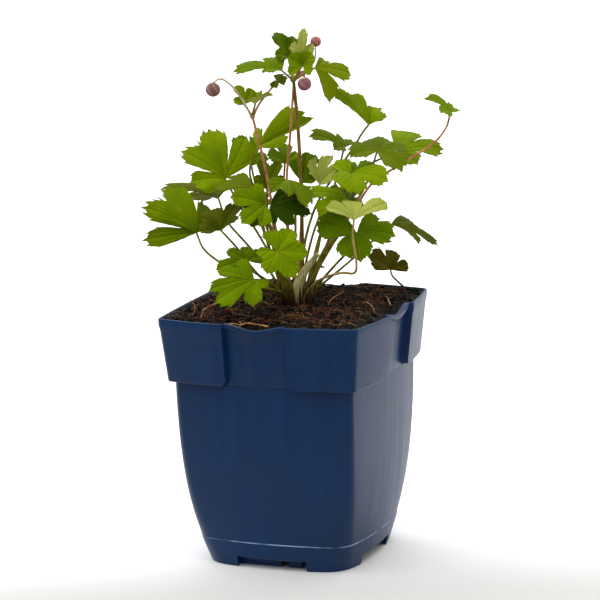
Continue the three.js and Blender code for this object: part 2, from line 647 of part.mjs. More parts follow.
function makeStalks() {
  const { x, y, radius, under, over } = CROWN;
  const knot = wasm.Manifold.cylinder(under, radius, radius, CROWN_SIDES).translate([x, y, -under]);
  const top = wasm.Manifold.cylinder(over, radius, OUTER_RING * radius, CROWN_SIDES).translate([x, y, -GAP]);
  const leafStalks = LEAVES.map((leaf) => {
    const route = stalkRoute(leaf);
    return rod(route, STALK_FOOT_RADIUS, STALK_TIP_RADIUS, leaf.via ? route.length : STALK_STEPS);
  });
  const flowerStems = FLOWER_STEMS.map(({ route, foot, tip }) => rod(route, foot, tip));
  const shoots = SHOOTS.map(({ route, foot, tip }) => rod(route, foot, tip, STALK_STEPS - 1));
  const stemKnots = KNOTS.map(({ place, radius: size }) => wasm.Manifold.sphere(size, 8).translate(place));
  const stemLeafStalks = STEM_LEAVES.map((leaf) =>
    rod([leaf.root, stalkEnd(leaf).end.toArray()], SMALL_STALK.foot, SMALL_STALK.tip, 2));
  return join([knot, top, ...leafStalks, ...flowerStems, ...shoots, ...stemKnots, ...stemLeafStalks]);
}

// Buds

// A round bud whose sepals stand out as low ribs.
function makeBud({ place, radius, lean }) {
  const axis = vector(lean).normalize();
  const spin = new THREE.Quaternion().setFromUnitVectors(new THREE.Vector3(0, 0, 1), axis);
  const rings = [];
  for (let ring = 1; ring < BUD_RINGS; ring += 1) {
    const polar = (Math.PI * ring) / BUD_RINGS;
    const points = [];
    for (let k = 0; k < BUD_MERIDIANS; k += 1) {
      const turn = (2 * Math.PI * k) / BUD_MERIDIANS;
      const reach = radius * Math.sin(polar) * (1 + (k % 2 ? -BUD_RIB : BUD_RIB));
      const point = new THREE.Vector3(reach * Math.cos(turn), reach * Math.sin(turn), 0);
      point.z = radius * Math.cos(polar);
      points.push(point.applyQuaternion(spin).add(vector(place)));
    }
    rings.push(points);
  }
  return loft(rings);
}

// Assembly

function inPlantFrame(solid) {
  return solid.rotate([0, 0, PLANT_TURN]).translate([0, 0, POT_HEIGHT]);
}

function crownInPotFrame() {
  return turned(CROWN.x, CROWN.y, 0, radians(PLANT_TURN));
}

function crownHole() {
  const { x, y, radius, under } = CROWN;
  const hole = wasm.Manifold.cylinder(3 * under, radius + 2 * GAP, radius + 2 * GAP, CROWN_SIDES);
  return inPlantFrame(hole.translate([x, y, -under - GAP]));
}

function runnerHole() {
  const [x, y, z] = RUNNER_ROUTE[0];
  const radius = SMALL_STALK.foot + 3 * GAP;
  const hole = wasm.Manifold.cylinder(20, radius, radius, 6);
  return inPlantFrame(hole.translate([x, y, z - GAP]));
}

function buildGroup() {
  const group = new THREE.Group();
  group.name = "potted_anemone";
  group.add(toMesh("pot", makePot(), COLOURS.pot));
  const soil = makeSoil(crownInPotFrame()).subtract(crownHole()).subtract(runnerHole());
  group.add(toMesh("soil", soil, COLOURS.soil));
  group.add(toMesh("stalks", inPlantFrame(makeStalks()), COLOURS.stalk));
  const runnerRoute = [...RUNNER_ROUTE, stalkEnd(RUNNER_LEAF).end.toArray()];
  const runner = rod(runnerRoute, SMALL_STALK.foot, SMALL_STALK.tip);
  group.add(toMesh("runner_stalk", inPlantFrame(runner), COLOURS.stalk));
  for (const leaf of [...LEAVES, RUNNER_LEAF, ...STEM_LEAVES]) {
    group.add(toMesh(`leaf_${leaf.name}`, inPlantFrame(makeBlade(leaf)), COLOURS.leaf));
  }
  for (const bud of BUDS) {
    group.add(toMesh(bud.name, inPlantFrame(makeBud(bud)), COLOURS.bud));
  }
  return group;
}

// The whole stands with the middle of its bounding box over the origin.
function centred(group) {
  const bounds = new THREE.Box3().setFromObject(group, true);
  const middle = bounds.getCenter(new THREE.Vector3());
  group.position.set(-middle.x, -middle.y, -bounds.min.z);
  group.updateMatrixWorld(true);
  return group;
}

export default centred(buildGroup());
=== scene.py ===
import math
import random
import bpy
import bmesh
from mathutils import Matrix, Vector, noise
from mathutils.bvhtree import BVHTree


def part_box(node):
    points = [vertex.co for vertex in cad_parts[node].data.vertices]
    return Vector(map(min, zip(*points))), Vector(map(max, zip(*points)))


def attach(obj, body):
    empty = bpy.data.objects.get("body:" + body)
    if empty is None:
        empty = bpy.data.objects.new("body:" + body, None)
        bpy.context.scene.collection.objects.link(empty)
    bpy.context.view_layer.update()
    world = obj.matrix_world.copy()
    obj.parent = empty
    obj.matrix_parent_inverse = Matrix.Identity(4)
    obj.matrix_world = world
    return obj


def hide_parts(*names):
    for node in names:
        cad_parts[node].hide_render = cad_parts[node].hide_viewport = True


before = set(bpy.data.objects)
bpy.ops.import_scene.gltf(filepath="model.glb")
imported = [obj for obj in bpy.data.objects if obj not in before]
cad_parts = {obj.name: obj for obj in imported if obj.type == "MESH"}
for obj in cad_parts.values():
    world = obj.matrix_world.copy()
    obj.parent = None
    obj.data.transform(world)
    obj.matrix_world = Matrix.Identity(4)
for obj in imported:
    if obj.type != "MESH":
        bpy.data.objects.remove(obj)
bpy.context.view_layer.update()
bpy.ops.object.select_all(action="DESELECT")
noise.seed_set(5)  # else the noise takes its start from the clock

# the plant is described in mm: x to the right in the front view, y away, z over the pot's rim
plant = {"turn": 21.56, "rim": 166}  # turn in degrees about Z
potLow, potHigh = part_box("pot")
potAxis = Vector(((potLow.x + potHigh.x) / 2, (potLow.y + potHigh.y) / 2, 0))
plantSpin = Matrix.Rotation(math.radians(plant["turn"]), 3, "Z")


def fromPot(x, y, z):  # mm about the pot's axis, z from the ground
    return Vector((x, y, z)) / 1000 + potAxis


def fromPlant(point):
    x, y, z = point
    return fromPot(*(plantSpin @ Vector((x, y, z + plant["rim"]))))


def mix(a, b, share):
    return a + (b - a) * share


def smooth(share):
    share = min(max(share, 0), 1)
    return share * share * (3 - 2 * share)


def alongTable(table, at):  # value read from (place, value) pairs, eased between them
    for (x0, y0), (x1, y1) in zip(table, table[1:]):
        if at <= x1:
            return mix(y0, y1, (at - x0) / (x1 - x0))
    return table[-1][1]


def linear(hexColour):
    parts = [int(hexColour[k:k + 2], 16) / 255 for k in (1, 3, 5)]
    return tuple(c / 12.92 if c <= 0.04045 else ((c + 0.055) / 1.055) ** 2.4 for c in parts) + (1,)


def meshObject(name, points, faces):
    mesh = bpy.data.meshes.new(name)
    mesh.from_pydata([tuple(p) for p in points], [], faces)
    mesh.update()
    piece = bpy.data.objects.new(name, mesh)
    bpy.context.scene.collection.objects.link(piece)
    return piece


def makeActive(piece):
    bpy.ops.object.select_all(action="DESELECT")
    piece.select_set(True)
    bpy.context.view_layer.objects.active = piece


def applyModifier(piece, kind, **settings):
    makeActive(piece)
    modifier = piece.modifiers.new(kind.lower(), kind)
    for key, value in settings.items():
        setattr(modifier, key, value)
    bpy.ops.object.modifier_apply(modifier=modifier.name)


def editMesh(piece, *steps):  # each step is an operator and its settings, run on the whole mesh
    makeActive(piece)
    bpy.ops.object.mode_set(mode="EDIT")
    bpy.ops.mesh.select_all(action="SELECT")
    for operator, settings in steps:
        operator(**settings)
    bpy.ops.object.mode_set(mode="OBJECT")


def finishPiece(piece, nodes, materials, angle=35):
    makeActive(piece)
    if angle:
        bpy.ops.object.shade_smooth_by_angle(angle=math.radians(angle))
    else:
        bpy.ops.object.shade_smooth()
    if not piece.data.materials:
        for material in materials:
            piece.data.materials.append(material)
    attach(piece, "root")
    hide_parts(*nodes)
    return piece


def smoothRoute(points, perSpan):  # an even curve through the points
    knots = [Vector(p) for p in points]
    knots = [2 * knots[0] - knots[1]] + knots + [2 * knots[-1] - knots[-2]]
    route = []
    for k in range(1, len(knots) - 2):
        p0, p1, p2, p3 = knots[k - 1:k + 3]
        d0, d1, d2 = [max((b - a).length, 0.001) ** 0.5 for a, b in ((p0, p1), (p1, p2), (p2, p3))]
        m1 = ((p1 - p0) / d0 - (p2 - p0) / (d0 + d1) + (p2 - p1) / d1) * d1
        m2 = ((p2 - p1) / d1 - (p3 - p1) / (d1 + d2) + (p3 - p2) / d2) * d1
        for step in range(perSpan):
            s = step / perSpan
            route.append((2 * s ** 3 - 3 * s ** 2 + 1) * p1 + (s ** 3 - 2 * s ** 2 + s) * m1
                         + (3 * s ** 2 - 2 * s ** 3) * p2 + (s ** 3 - s ** 2) * m2)
    route.append(knots[-2])
    return route


def tubes(name, runs, roundness):  # runs are lists of (place in m, radius in m)
    data = bpy.data.curves.new(name, "CURVE")
    data.dimensions = "3D"
    data.bevel_depth = 1
    data.bevel_resolution = roundness
    data.use_fill_caps = True
    for run in runs:
        spline = data.splines.new("POLY")
        spline.points.add(len(run) - 1)
        for point, (place, radius) in zip(spline.points, run):
            point.co = (*place, 1)
            point.radius = radius
    piece = bpy.data.objects.new(name, data)
    bpy.context.scene.collection.objects.link(piece)
    makeActive(piece)
    bpy.ops.object.convert(target="MESH")
    piece = bpy.context.view_layer.objects.active
    piece.data.name = name
    return piece


def addNode(material, kind, inputs=None, out=0, **settings):
    # a socket is linked, a hex colour is turned to linear, and any other value is set
    node = material.node_tree.nodes.new("ShaderNode" + kind)
    for key, value in settings.items():
        setattr(node, key, value)
    for key, value in (inputs or {}).items():
        if isinstance(value, bpy.types.NodeSocket):
            material.node_tree.links.new(value, node.inputs[key])
        else:
            node.inputs[key].default_value = linear(value) if isinstance(value, str) else value
    return node.outputs[out]


eased = {"interpolation_type": "SMOOTHSTEP"}  # for Map Range
colourMix = {"data_type": "RGBA", "out": 2}  # for Mix: 0 is the second colour's share, 6 and 7 the two colours


def newMaterial(name, values):
    material = bpy.data.materials.new(name)
    material.use_nodes = True
    shader = material.node_tree.nodes["Principled BSDF"]
    for key, value in values.items():
        shader.inputs[key].default_value = value
    return material, shader


def connect(material, shader, sockets):
    for key, socket in sockets.items():
        material.node_tree.links.new(socket, shader.inputs[key])


def patchLayers(material, place, colour, layers):  # colours over each other in soft patches; sizes in mm
    for layer in layers:
        where = place
        if "stretch" in layer:
            where = addNode(material, "Mapping", {"Vector": place, "Scale": layer["stretch"]})
        patch = addNode(material, "TexNoise", {
            "Vector": where, "Scale": 1000 / layer["size"], "Detail": layer.get("detail", 2),
            "Roughness": layer.get("rough", 0.5)}, "Fac")
        share = addNode(material, "MapRange", {"Value": patch, "From Min": layer["from"], "From Max": layer["to"],
                                               "To Max": layer.get("most", 1)}, **eased)
        colour = addNode(material, "Mix", {0: share, 6: colour, 7: layer["colour"]}, **colourMix)
    return colour


def lineEvery(material, value, start, full, most=1):  # lines midway between whole values
    for operation, second in (("FRACT", 0), ("SUBTRACT", 0.5), ("ABSOLUTE", 0)):
        value = addNode(material, "Math", {0: value, 1: second}, operation=operation)
    return addNode(material, "MapRange", {"Value": value, "From Min": start, "From Max": full,
                                          "To Max": most}, **eased)


def grownMaterial(name, look):  # patchy colours, another colour near the soil, and a fine grain
    material, shader = newMaterial(name, look["shader"])
    place = addNode(material, "TexCoord", out="Object")
    colour = patchLayers(material, place, look["base"], look["layers"])
    if "foot" in look:  # in mm over the pot's rim
        height = addNode(material, "SeparateXYZ", {0: place}, "Z")
        low, high = [(plant["rim"] + z) / 1000 for z in look["foot"]["span"]]
        share = addNode(material, "MapRange", {"Value": height, "From Min": low, "From Max": high, "To Min": 1,
                                               "To Max": 0}, **eased)
        colour = addNode(material, "Mix", {0: share, 6: colour, 7: look["foot"]["colour"]}, **colourMix)
    grain = look["grain"]
    where = addNode(material, "Mapping", {"Vector": place, "Scale": grain.get("stretch", (1, 1, 1))})
    height = addNode(material, "TexNoise", {
        "Vector": where, "Scale": 1000 / grain["size"], "Detail": grain.get("detail", 2),
        "Roughness": grain.get("rough", 0.5)}, "Fac")
    relief = addNode(material, "Bump", {"Height": height, "Distance": grain["depth"] / 1000})
    connect(material, shader, {"Base Color": colour, "Normal": relief})
    return material


# camera and light, as in the photograph
viewSet = {"azimuth": 21.56, "elevation": 11.64, "roll": -1.486, "distance": 2.2, "lens": 202.2,
           "right": 0.00355, "up": 0.00198}  # right and up: the picture's middle from the pot's axis at rim height


def placeCamera():
    azimuth = math.radians(viewSet["azimuth"])
    right = Vector((math.cos(azimuth), math.sin(azimuth), 0))
    back = lightSource(viewSet["azimuth"], viewSet["elevation"])
    up = back.cross(right)
    turned = Matrix((right, up, back)).transposed() @ Matrix.Rotation(math.radians(viewSet["roll"]), 3, "Z")
    aim = fromPot(0, 0, plant["rim"]) + right * viewSet["right"] + up * viewSet["up"]
    data = bpy.data.cameras.new("photoCamera")
    data.lens = viewSet["lens"]
    data.sensor_width = 36
    data.clip_end = 100
    camera = bpy.data.objects.new("photoCamera", data)
    camera.matrix_world = Matrix.Translation(aim + back * viewSet["distance"]) @ turned.to_4x4()
    bpy.context.scene.collection.objects.link(camera)
    bpy.context.scene.camera = camera


lightSet = {
    # brightness in front of the object, behind it and above, and between which places the one turns to the other
    "sky": {"front": 0.06, "behind": 1.25, "above": 0.35, "frontEnds": -0.7, "backBegins": 0.5},
    "suns": [  # azimuth and elevation of where the light comes from, strength, softness in degrees
        {"name": "keyLight", "azimuth": -20, "elevation": 62, "strength": 2.0, "angle": 80},
        {"name": "fillLight", "azimuth": 30, "elevation": 25, "strength": 0.7, "angle": 90},
    ],
    # the sheet on the floor: white behind the object, falling off to grey and then darker grey towards the viewer
    # as painted shade; places in metres from the pot's axis along the line of sight
    "floor": {"far": "#ffffff", "near": "#c4c5c2", "dark": "#949594",
              "farAt": 0.06, "nearAt": -0.13, "paintedShadeDarkestAt": -0.4, "size": 60},
}


def lightSource(azimuth, elevation):  # towards the light, from angles in degrees
    azimuth, elevation = math.radians(azimuth), math.radians(elevation)
    return Vector((math.sin(azimuth) * math.cos(elevation), -math.cos(azimuth) * math.cos(elevation),
                   math.sin(elevation)))


def makeSky(away):
    world = bpy.data.worlds.new("studio")
    world.use_nodes = True
    bpy.context.scene.world = world
    sky = lightSet["sky"]
    where = addNode(world, "TexCoord", out="Generated")
    depth = addNode(world, "VectorMath", {0: where, 1: away}, "Value", operation="DOT_PRODUCT")
    height = addNode(world, "SeparateXYZ", {0: where}, "Z")
    around = addNode(world, "MapRange", {"Value": depth, "From Min": sky["frontEnds"],
                                         "From Max": sky["backBegins"], "To Min": sky["front"],
                                         "To Max": sky["behind"]}, **eased)
    overhead = addNode(world, "MapRange", {"Value": height, "To Max": sky["above"]}, **eased)
    level = addNode(world, "Math", {0: around, 1: overhead}, operation="ADD")
    seen = addNode(world, "LightPath", out="Is Camera Ray")  # the backdrop itself is plain white
    strength = addNode(world, "Math", {0: level, 1: seen}, operation="MAXIMUM")
    background = world.node_tree.nodes["Background"]
    background.inputs["Color"].default_value = linear("#ffffff")
    connect(world, background, {"Strength": strength})


def makeSuns():
    for sun in lightSet["suns"]:
        data = bpy.data.lights.new(sun["name"], "SUN")
        data.energy = sun["strength"]
        data.angle = math.radians(sun["angle"])
        lamp = bpy.data.objects.new(sun["name"], data)
        lamp.rotation_euler = lightSource(sun["azimuth"], sun["elevation"]).to_track_quat("Z", "Y").to_euler()
        bpy.context.scene.collection.objects.link(lamp)


def makeFloor(away):  # matte paper, so it gives no gloss; its colour greys towards the viewer as painted shade
    sheet = lightSet["floor"]
    bpy.ops.mesh.primitive_plane_add(size=sheet["size"], location=(0, 0, 0))
    floor = bpy.context.active_object
    floor.name = "studioFloor"
    material, shader = newMaterial("mattePaperSweepPaintedShade", {"Roughness": 0.9, "Specular IOR Level": 0.1})
    place = addNode(material, "TexCoord", out="Object")
    depth = addNode(material, "VectorMath", {0: place, 1: away}, "Value", operation="DOT_PRODUCT")
    # painted shade: the paper turns from white to grey towards the viewer, then to a darker grey
    pale = addNode(material, "MapRange", {"Value": depth, "From Min": sheet["nearAt"],
                                          "From Max": sheet["farAt"]}, **eased)
    colour = addNode(material, "Mix", {0: pale, 6: sheet["near"], 7: sheet["far"]}, **colourMix)
    paintedShadeFade = addNode(material, "MapRange", {"Value": depth, "From Min": sheet["paintedShadeDarkestAt"],
                                         "From Max": sheet["nearAt"]}, **eased)
    colour = addNode(material, "Mix", {0: paintedShadeFade, 6: sheet["dark"], 7: colour}, **colourMix)
    connect(material, shader, {"Base Color": colour})
    floor.data.materials.append(material)


def makeStudio():
    scene = bpy.context.scene
    scene.view_settings.view_transform = "Standard"
    scene.view_settings.look = "None"
    azimuth = math.radians(viewSet["azimuth"])
    away = (-math.sin(azimuth), math.cos(azimuth), 0)
    makeSky(away)
    makeSuns()
    makeFloor(away)


placeCamera()
makeStudio()
print("camera, light and floor made")

# the pot, in mm
pot = {
    "wall": 1.5, "edgeRound": 0.7, "stepRun": 1.1,
    "rimHalf": 67.5, "rimCorner": 4, "rimDip": 3.5, "dipSpread": 2.2, "lipHeight": 3.4, "lipSink": 2.6,
    "collarHeight": 42, "collarDraw": 4, "collarBows": (7, 7, 7, 1.6), "plateCorner": 5,
    "recessed": (1, 1, 1, 0), "recessHalf": 20.2, "recessDepth": 5,  # front, right, back, left
    "bodyHalf": 61.5, "baseHalf": 49.6, "bodyCorner": 5, "baseCorner": 20, "taperPower": 3.4, "bodyBow": 3.5,
    "seamHeight": 18, "seamStep": 0.45, "floorUnder": 9, "floorTop": 10.5,
    "notchHalf": 23.75, "notchHeight": 6.4, "notchRun": 0.25, "groundRound": 0.3,
    "footSetback": 4, "footClear": 0.8, "footLong": 28, "footShort": 9.5, "footSlot": 4.7, "footEnd": 2,
    "ribPlace": 9.3, "ribWidth": 0.6, "drainRadius": 5, "drainPlace": 27, "drainSides": 28,
}
potSteps = {"plate": 9, "recess": 7, "corner": 9, "edge": (0, 0.2, 0.5, 0.8, 1)}  # how finely each run is divided
potRingsAt = {  # heights in mm of the rings that the wall is made of, some with their share of the seam's step
    "low": ((11, 0), (14.5, 0)), "seam": ((-0.6, 0), (-0.25, 0.0667), (0, 0.4), (0.12, 1), (0.8, 1)),
    "side": ((23, 0.9), (29, 0.6), (36, 0.3), (44, 0.1111), *((z, 0) for z in (52, 61, 71, 82, 94, 106, 116))),
    "collar": (1.6, 2.8, 4, 5, 12, 20, 28, 34), "inside": (90, 55, 30),  # collar: from its foot
}
gap = 0.35  # mm between soil and wall


def bodySize(z):
    share = ((plant["rim"] - z) / plant["rim"]) ** pot["taperPower"]
    return (mix(pot["bodyHalf"], pot["baseHalf"], share), mix(pot["bodyCorner"], pot["baseCorner"], share),
            [pot["bodyBow"]] * 4)


def collarSize(z):
    down = (plant["rim"] - z) / pot["collarHeight"]
    cornerReach = pot["rimCorner"] * (1 - math.sqrt(0.5))
    return (pot["rimHalf"] + cornerReach - pot["collarDraw"] * down, pot["rimCorner"],
            [bow - down for bow in pot["collarBows"]])


def potOutline(size, inset, height, sink=0.0, edge=22.0, run=pot["stepRun"]):
    # height and sink belong to a place along a side; edge is where the step between plate and recess lies
    half, radius, bows = size
    corner = max(radius - inset, 0.6)
    centre = half - inset - corner
    turns = [math.atan2(2 * bow, centre + corner) for bow in bows]
    outer = edge + run
    points = []
    for side, (bow, turn) in enumerate(zip(bows, turns)):  # front, right, back, left
        spin = Matrix.Rotation(side * math.pi / 2, 3, "Z")
        endX, endY = centre + corner * math.sin(turn), centre + corner * math.cos(turn)
        plate, recess, rounds = potSteps["plate"], potSteps["recess"], potSteps["corner"]
        stations = [-mix(endX, outer, k / plate) for k in range(plate)]
        stations += [-(outer - run * s) for s in potSteps["edge"]]
        stations += [edge * (k / recess - 1) for k in range(1, recess)] + [0]
        stations += [-x for x in reversed(stations[:-1])]
        for x in stations:
            inside = smooth((outer - abs(x)) / run) * pot["recessed"][side]
            out = endY + bow * (1 - (x / endX) ** 2) - sink * inside
            points.append(spin @ Vector((x, -out, height(x, inside))))
        end = math.pi / 2 - turns[(side + 1) % 4]
        for k in range(1, rounds):
            angle = mix(turn, end, k / rounds)
            x, y = centre + corner * math.sin(angle), centre + corner * math.cos(angle)
            points.append(spin @ Vector((x, -y, height(x, 0))))
    return points


def atLevel(z):
    return lambda x, inside: z


def rimLine(drop):
    def height(x, inside):
        wave = math.cos(math.pi * min(abs(x) / (pot["dipSpread"] * pot["recessHalf"]), 0.5))
        return plant["rim"] - drop - pot["rimDip"] * wave ** 2 * inside
    return height


def footLine(x, inside):
    return pot["notchHeight"] * inside


def skin(rings):  # closed surface over rings of equally many points
    count = len(rings[0])
    points = [p for ring in rings for p in ring]
    faces = []
    for level in range(len(rings) - 1):
        for k in range(count):
            a, b = level * count + k, level * count + (k + 1) % count
            faces.append((a, b, b + count, a + count))
    for level, order in ((0, -1), (len(rings) - 1, 1)):
        middle = sum(rings[level], Vector()) / count
        points.append(middle)
        for k in range(count):
            a, b = level * count + k, level * count + (k + 1) % count
            faces.append((a, b, len(points) - 1)[::order])
    return points, faces


def potRings():
    wall, edge, ground = pot["wall"], pot["edgeRound"], pot["groundRound"]
    foot = plant["rim"] - pot["collarHeight"]
    notch = {"edge": pot["notchHalf"], "run": pot["notchRun"]}

    def body(z, inset, **more):
        return potOutline(bodySize(z), inset, atLevel(z), **more)

    def collar(z, inset, height=None, sink=pot["recessDepth"]):
        above = max(1 - (z - foot) / pot["plateCorner"], 0)  # the plates' lower corners are rounded
        widen = pot["plateCorner"] * (1 - math.sqrt(1 - above ** 2))
        return potOutline(collarSize(z), inset, height or atLevel(z), sink, pot["recessHalf"] + widen + inset,
                          pot["stepRun"])

    rim, lip, lipSink = plant["rim"], pot["lipHeight"], pot["lipSink"]
    rings = [body(pot["floorUnder"], wall, **notch), potOutline(bodySize(0), wall, footLine, **notch),
             potOutline(bodySize(0), wall / 2, footLine, **notch),
             potOutline(bodySize(ground), 0, lambda x, inside: max(footLine(x, inside), ground), **notch),
             body(pot["notchHeight"] + 1.2, 0, **notch)]
    seam = tuple((pot["seamHeight"] + above, share) for above, share in potRingsAt["seam"])
    underCollar = ((foot - 0.6, 0), (foot - 0.1, 0))
    rings += [body(z, pot["seamStep"] * share)
              for z, share in potRingsAt["low"] + seam + potRingsAt["side"] + underCollar]
    rings += [collar(foot, edge), collar(foot + edge * 0.3, edge * 0.3), collar(foot + edge, 0)]
    rings += [collar(foot + above, 0) for above in potRingsAt["collar"]]
    top = collarSize(rim)
    half, run, sink = pot["recessHalf"], pot["stepRun"], pot["recessDepth"]
    rings += [
        potOutline(top, 0, rimLine(lip + 0.5), sink, half, run),
        potOutline(top, 0, rimLine(lip), sink * 0.92, half, run),
        potOutline(top, 0, rimLine(lip - 0.5), lipSink + 0.3, half, run),
        potOutline(top, 0, rimLine(lip - 1), lipSink, half, run),
        potOutline(top, 0, rimLine(0.5), lipSink, half, run),
        potOutline(top, 0.15, rimLine(0.15), lipSink, half, run),
        potOutline(top, 0.5, rimLine(0), lipSink + 0.1, half, run),
        potOutline(top, wall - 0.35, rimLine(0), sink - 0.3, half, run),
        potOutline(top, wall, rimLine(0.4), sink, half, run),
        potOutline(collarSize(foot + wall + 1), wall, atLevel(foot + wall + 1), sink, half + wall, run),
        body(foot + wall, wall)]
    return rings + [body(z, wall) for z in (*potRingsAt["inside"], pot["floorTop"])]


def blockAt(low, high, spin, bevel=0.25):  # a small bevelled block, mm about the pot's axis
    size = [b - a for a, b in zip(low, high)]
    bpy.ops.mesh.primitive_cube_add(size=1)
    block = bpy.context.active_object
    block.data.transform(Matrix.Diagonal((*size, 1)))
    block.data.transform(Matrix.Translation([(a + b) / 2 for a, b in zip(low, high)]))
    applyModifier(block, "BEVEL", width=bevel, segments=2)
    block.data.transform(Matrix.Rotation(spin, 4, "Z"))
    return block


def makePot():
    points, faces = skin(potRings())
    shell = meshObject("nurseryPot", points, faces)
    editMesh(shell, (bpy.ops.mesh.normals_make_consistent, {"inside": False}))
    front, left = -(pot["baseHalf"] - pot["footSetback"]), -pot["notchHalf"]
    slotStart = left + pot["footLong"]
    slotEnd = slotStart + pot["footSlot"]
    spans = [(left - pot["footEnd"], slotStart), (slotEnd, slotEnd + pot["footShort"])]
    feet = []
    for side in range(4):
        for start, end in spans:
            low, high = (start, front, pot["footClear"]), (end, front + pot["wall"], pot["floorUnder"] + 0.5)
            feet.append(blockAt(low, high, side * math.pi / 2))
        ribLeft = left + pot["ribPlace"]
        rib = (ribLeft, front - 0.5, 1.2), (ribLeft + pot["ribWidth"], front + 0.3, pot["floorUnder"])
        feet.append(blockAt(*rib, side * math.pi / 2, 0.1))  # the joint line in the long inner foot
    drains = []
    for x in (-pot["drainPlace"], pot["drainPlace"]):
        for y in (-pot["drainPlace"], pot["drainPlace"]):
            bpy.ops.mesh.primitive_cylinder_add(vertices=pot["drainSides"], radius=pot["drainRadius"],
                                                depth=4 * pot["wall"], location=(x, y, pot["floorTop"] - 0.8))
            drain = bpy.context.active_object
            makeActive(drain)
            bpy.ops.object.transform_apply(location=True)
            drains.append(drain)
    for drain in drains:
        applyModifier(shell, "BOOLEAN", operation="DIFFERENCE", object=drain, solver="EXACT")
        bpy.data.objects.remove(drain)
    makeActive(shell)
    for foot in feet:
        foot.select_set(True)
    bpy.ops.object.join()
    shell.data.transform(Matrix.Translation(potAxis) @ Matrix.Scale(0.001, 4))
    return shell


potLook = {  # injection moulded polypropylene: satin, with faint flow streaks up the sides; sizes in mm
    "base": "#02264f",
    "layers": [{"size": 7, "detail": 3, "rough": 0.6, "stretch": (1, 1, 0.04), "from": 0.35, "to": 0.7,
                "colour": "#042c56"},
               {"size": 40, "from": 0.35, "to": 0.7, "colour": "#06284b"},
               {"size": 1.6, "rough": 0.7, "from": 0.7, "to": 0.8, "most": 0.2, "colour": "#4a4a50"}],  # peat dust
    "paintedSeamHighlight": "#7f93b4", "paintedSeamHighlightLength": 22, "paintedSeamHighlightHalf": (0.2, 0.5),  # a painted highlight along the seam's edge, in parts
    "gloss": (0.33, 0.42), "grain": 1.2, "grainDepth": 0.04,
}


def potMaterial():
    material, shader = newMaterial("mouldedBluePolypropylene", {"IOR": 1.49, "Specular IOR Level": 0.22})
    place = addNode(material, "TexCoord", out="Object")
    colour = patchLayers(material, place, potLook["base"], potLook["layers"])
    # painted highlight: a thin pale line along the seam, broken up by noise
    height = addNode(material, "SeparateXYZ", {0: place}, "Z")
    height = addNode(material, "Math", {0: height, 1: pot["seamHeight"] / 1000}, operation="SUBTRACT")
    offSeam = addNode(material, "Math", {0: height}, operation="ABSOLUTE")
    near, far = [half / 1000 for half in potLook["paintedSeamHighlightHalf"]]
    onSeam = addNode(material, "MapRange", {"Value": offSeam, "From Min": near, "From Max": far, "To Min": 1,
                                            "To Max": 0}, **eased)
    parts = addNode(material, "TexNoise", {"Vector": place, "Scale": 1000 / potLook["paintedSeamHighlightLength"]}, "Fac")
    parts = addNode(material, "MapRange", {"Value": parts, "From Min": 0.35, "From Max": 0.6}, **eased)
    paintedSeamHighlight = addNode(material, "Math", {0: onSeam, 1: parts}, operation="MULTIPLY")
    colour = addNode(material, "Mix", {0: paintedSeamHighlight, 6: colour, 7: potLook["paintedSeamHighlight"]}, **colourMix)
    streak = potLook["layers"][0]
    streaks = addNode(material, "Mapping", {"Vector": place, "Scale": streak["stretch"]})
    flow = addNode(material, "TexNoise", {"Vector": streaks, "Scale": 1000 / streak["size"],
                                          "Detail": streak["detail"], "Roughness": streak["rough"]}, "Fac")
    satin, matt = potLook["gloss"]
    roughness = addNode(material, "MapRange", {"Value": flow, "From Min": 0.3, "From Max": 0.7, "To Min": satin,
                                               "To Max": matt}, **eased)
    soft = addNode(material, "Math", {0: flow, 1: 0.5}, operation="MULTIPLY")
    fine = addNode(material, "TexNoise", {"Vector": place, "Scale": 1000 / potLook["grain"]}, "Fac")
    height = addNode(material, "Math", {0: soft, 1: fine}, operation="ADD")
    relief = addNode(material, "Bump", {"Height": height, "Distance": potLook["grainDepth"] / 1000,
                                        "Strength": 0.4})
    connect(material, shader, {"Base Color": colour, "Roughness": roughness, "Normal": relief})
    return material


finishPiece(makePot(), ["pot"], [potMaterial()], 40)
print("pot made")

# the soil and what lies in it, in mm
crown = {"x": 2, "y": -6, "radius": 11, "root": 3, "straight": 5, "highLeaf": 75, "inner": 0.35, "outer": 0.6}
soil = {
    "edgeDrop": 0.9, "bank": 4, "rise": 2, "roughness": 0.9, "crumb": 1.3, "rings": 64, "settle": 14,  # mm
    "broadWave": (0.31, 0.13, 0.27, -0.09), "shortWave": (0.83, 0.71),  # radians to the mm
    "crumbPitch": 0.55, "clodPitch": 0.38,  # cells to the mm
}
clods = {
    "count": 520, "size": (0.7, 2.2), "long": (0.7, 1.5), "wide": (0.6, 1), "tall": 0.6, "raised": 0.2,
    "dent": 0.3, "dentPitch": 900, "margin": 3.6, "seed": 7,
}
fibres = {"joints": 6, "curl": 0.07, "sink": 0.25, "leastLift": 0.1, "taper": 0.55, "margin": 2.4}
spread = 73  # mm from the pot's axis within which clods and fibres are strewn
strawKinds = [  # what lies in the soil: how many, length, radius in mm, how far it may stand up, and its colours
    {"name": "paleStraw", "count": 300, "length": (7, 24), "radius": (0.11, 0.22), "lift": 2.0, "seed": 11,
     "colours": ("#54391b", "#96703c")},
    {"name": "rustBark", "count": 560, "length": (7, 25), "radius": (0.16, 0.4), "lift": 2.2, "seed": 12,
     "colours": ("#29150a", "#5e321a")},
    {"name": "darkRoot", "count": 620, "length": (6, 24), "radius": (0.16, 0.34), "lift": 1.0, "seed": 13,
     "colours": ("#0d0704", "#21130a")},
]
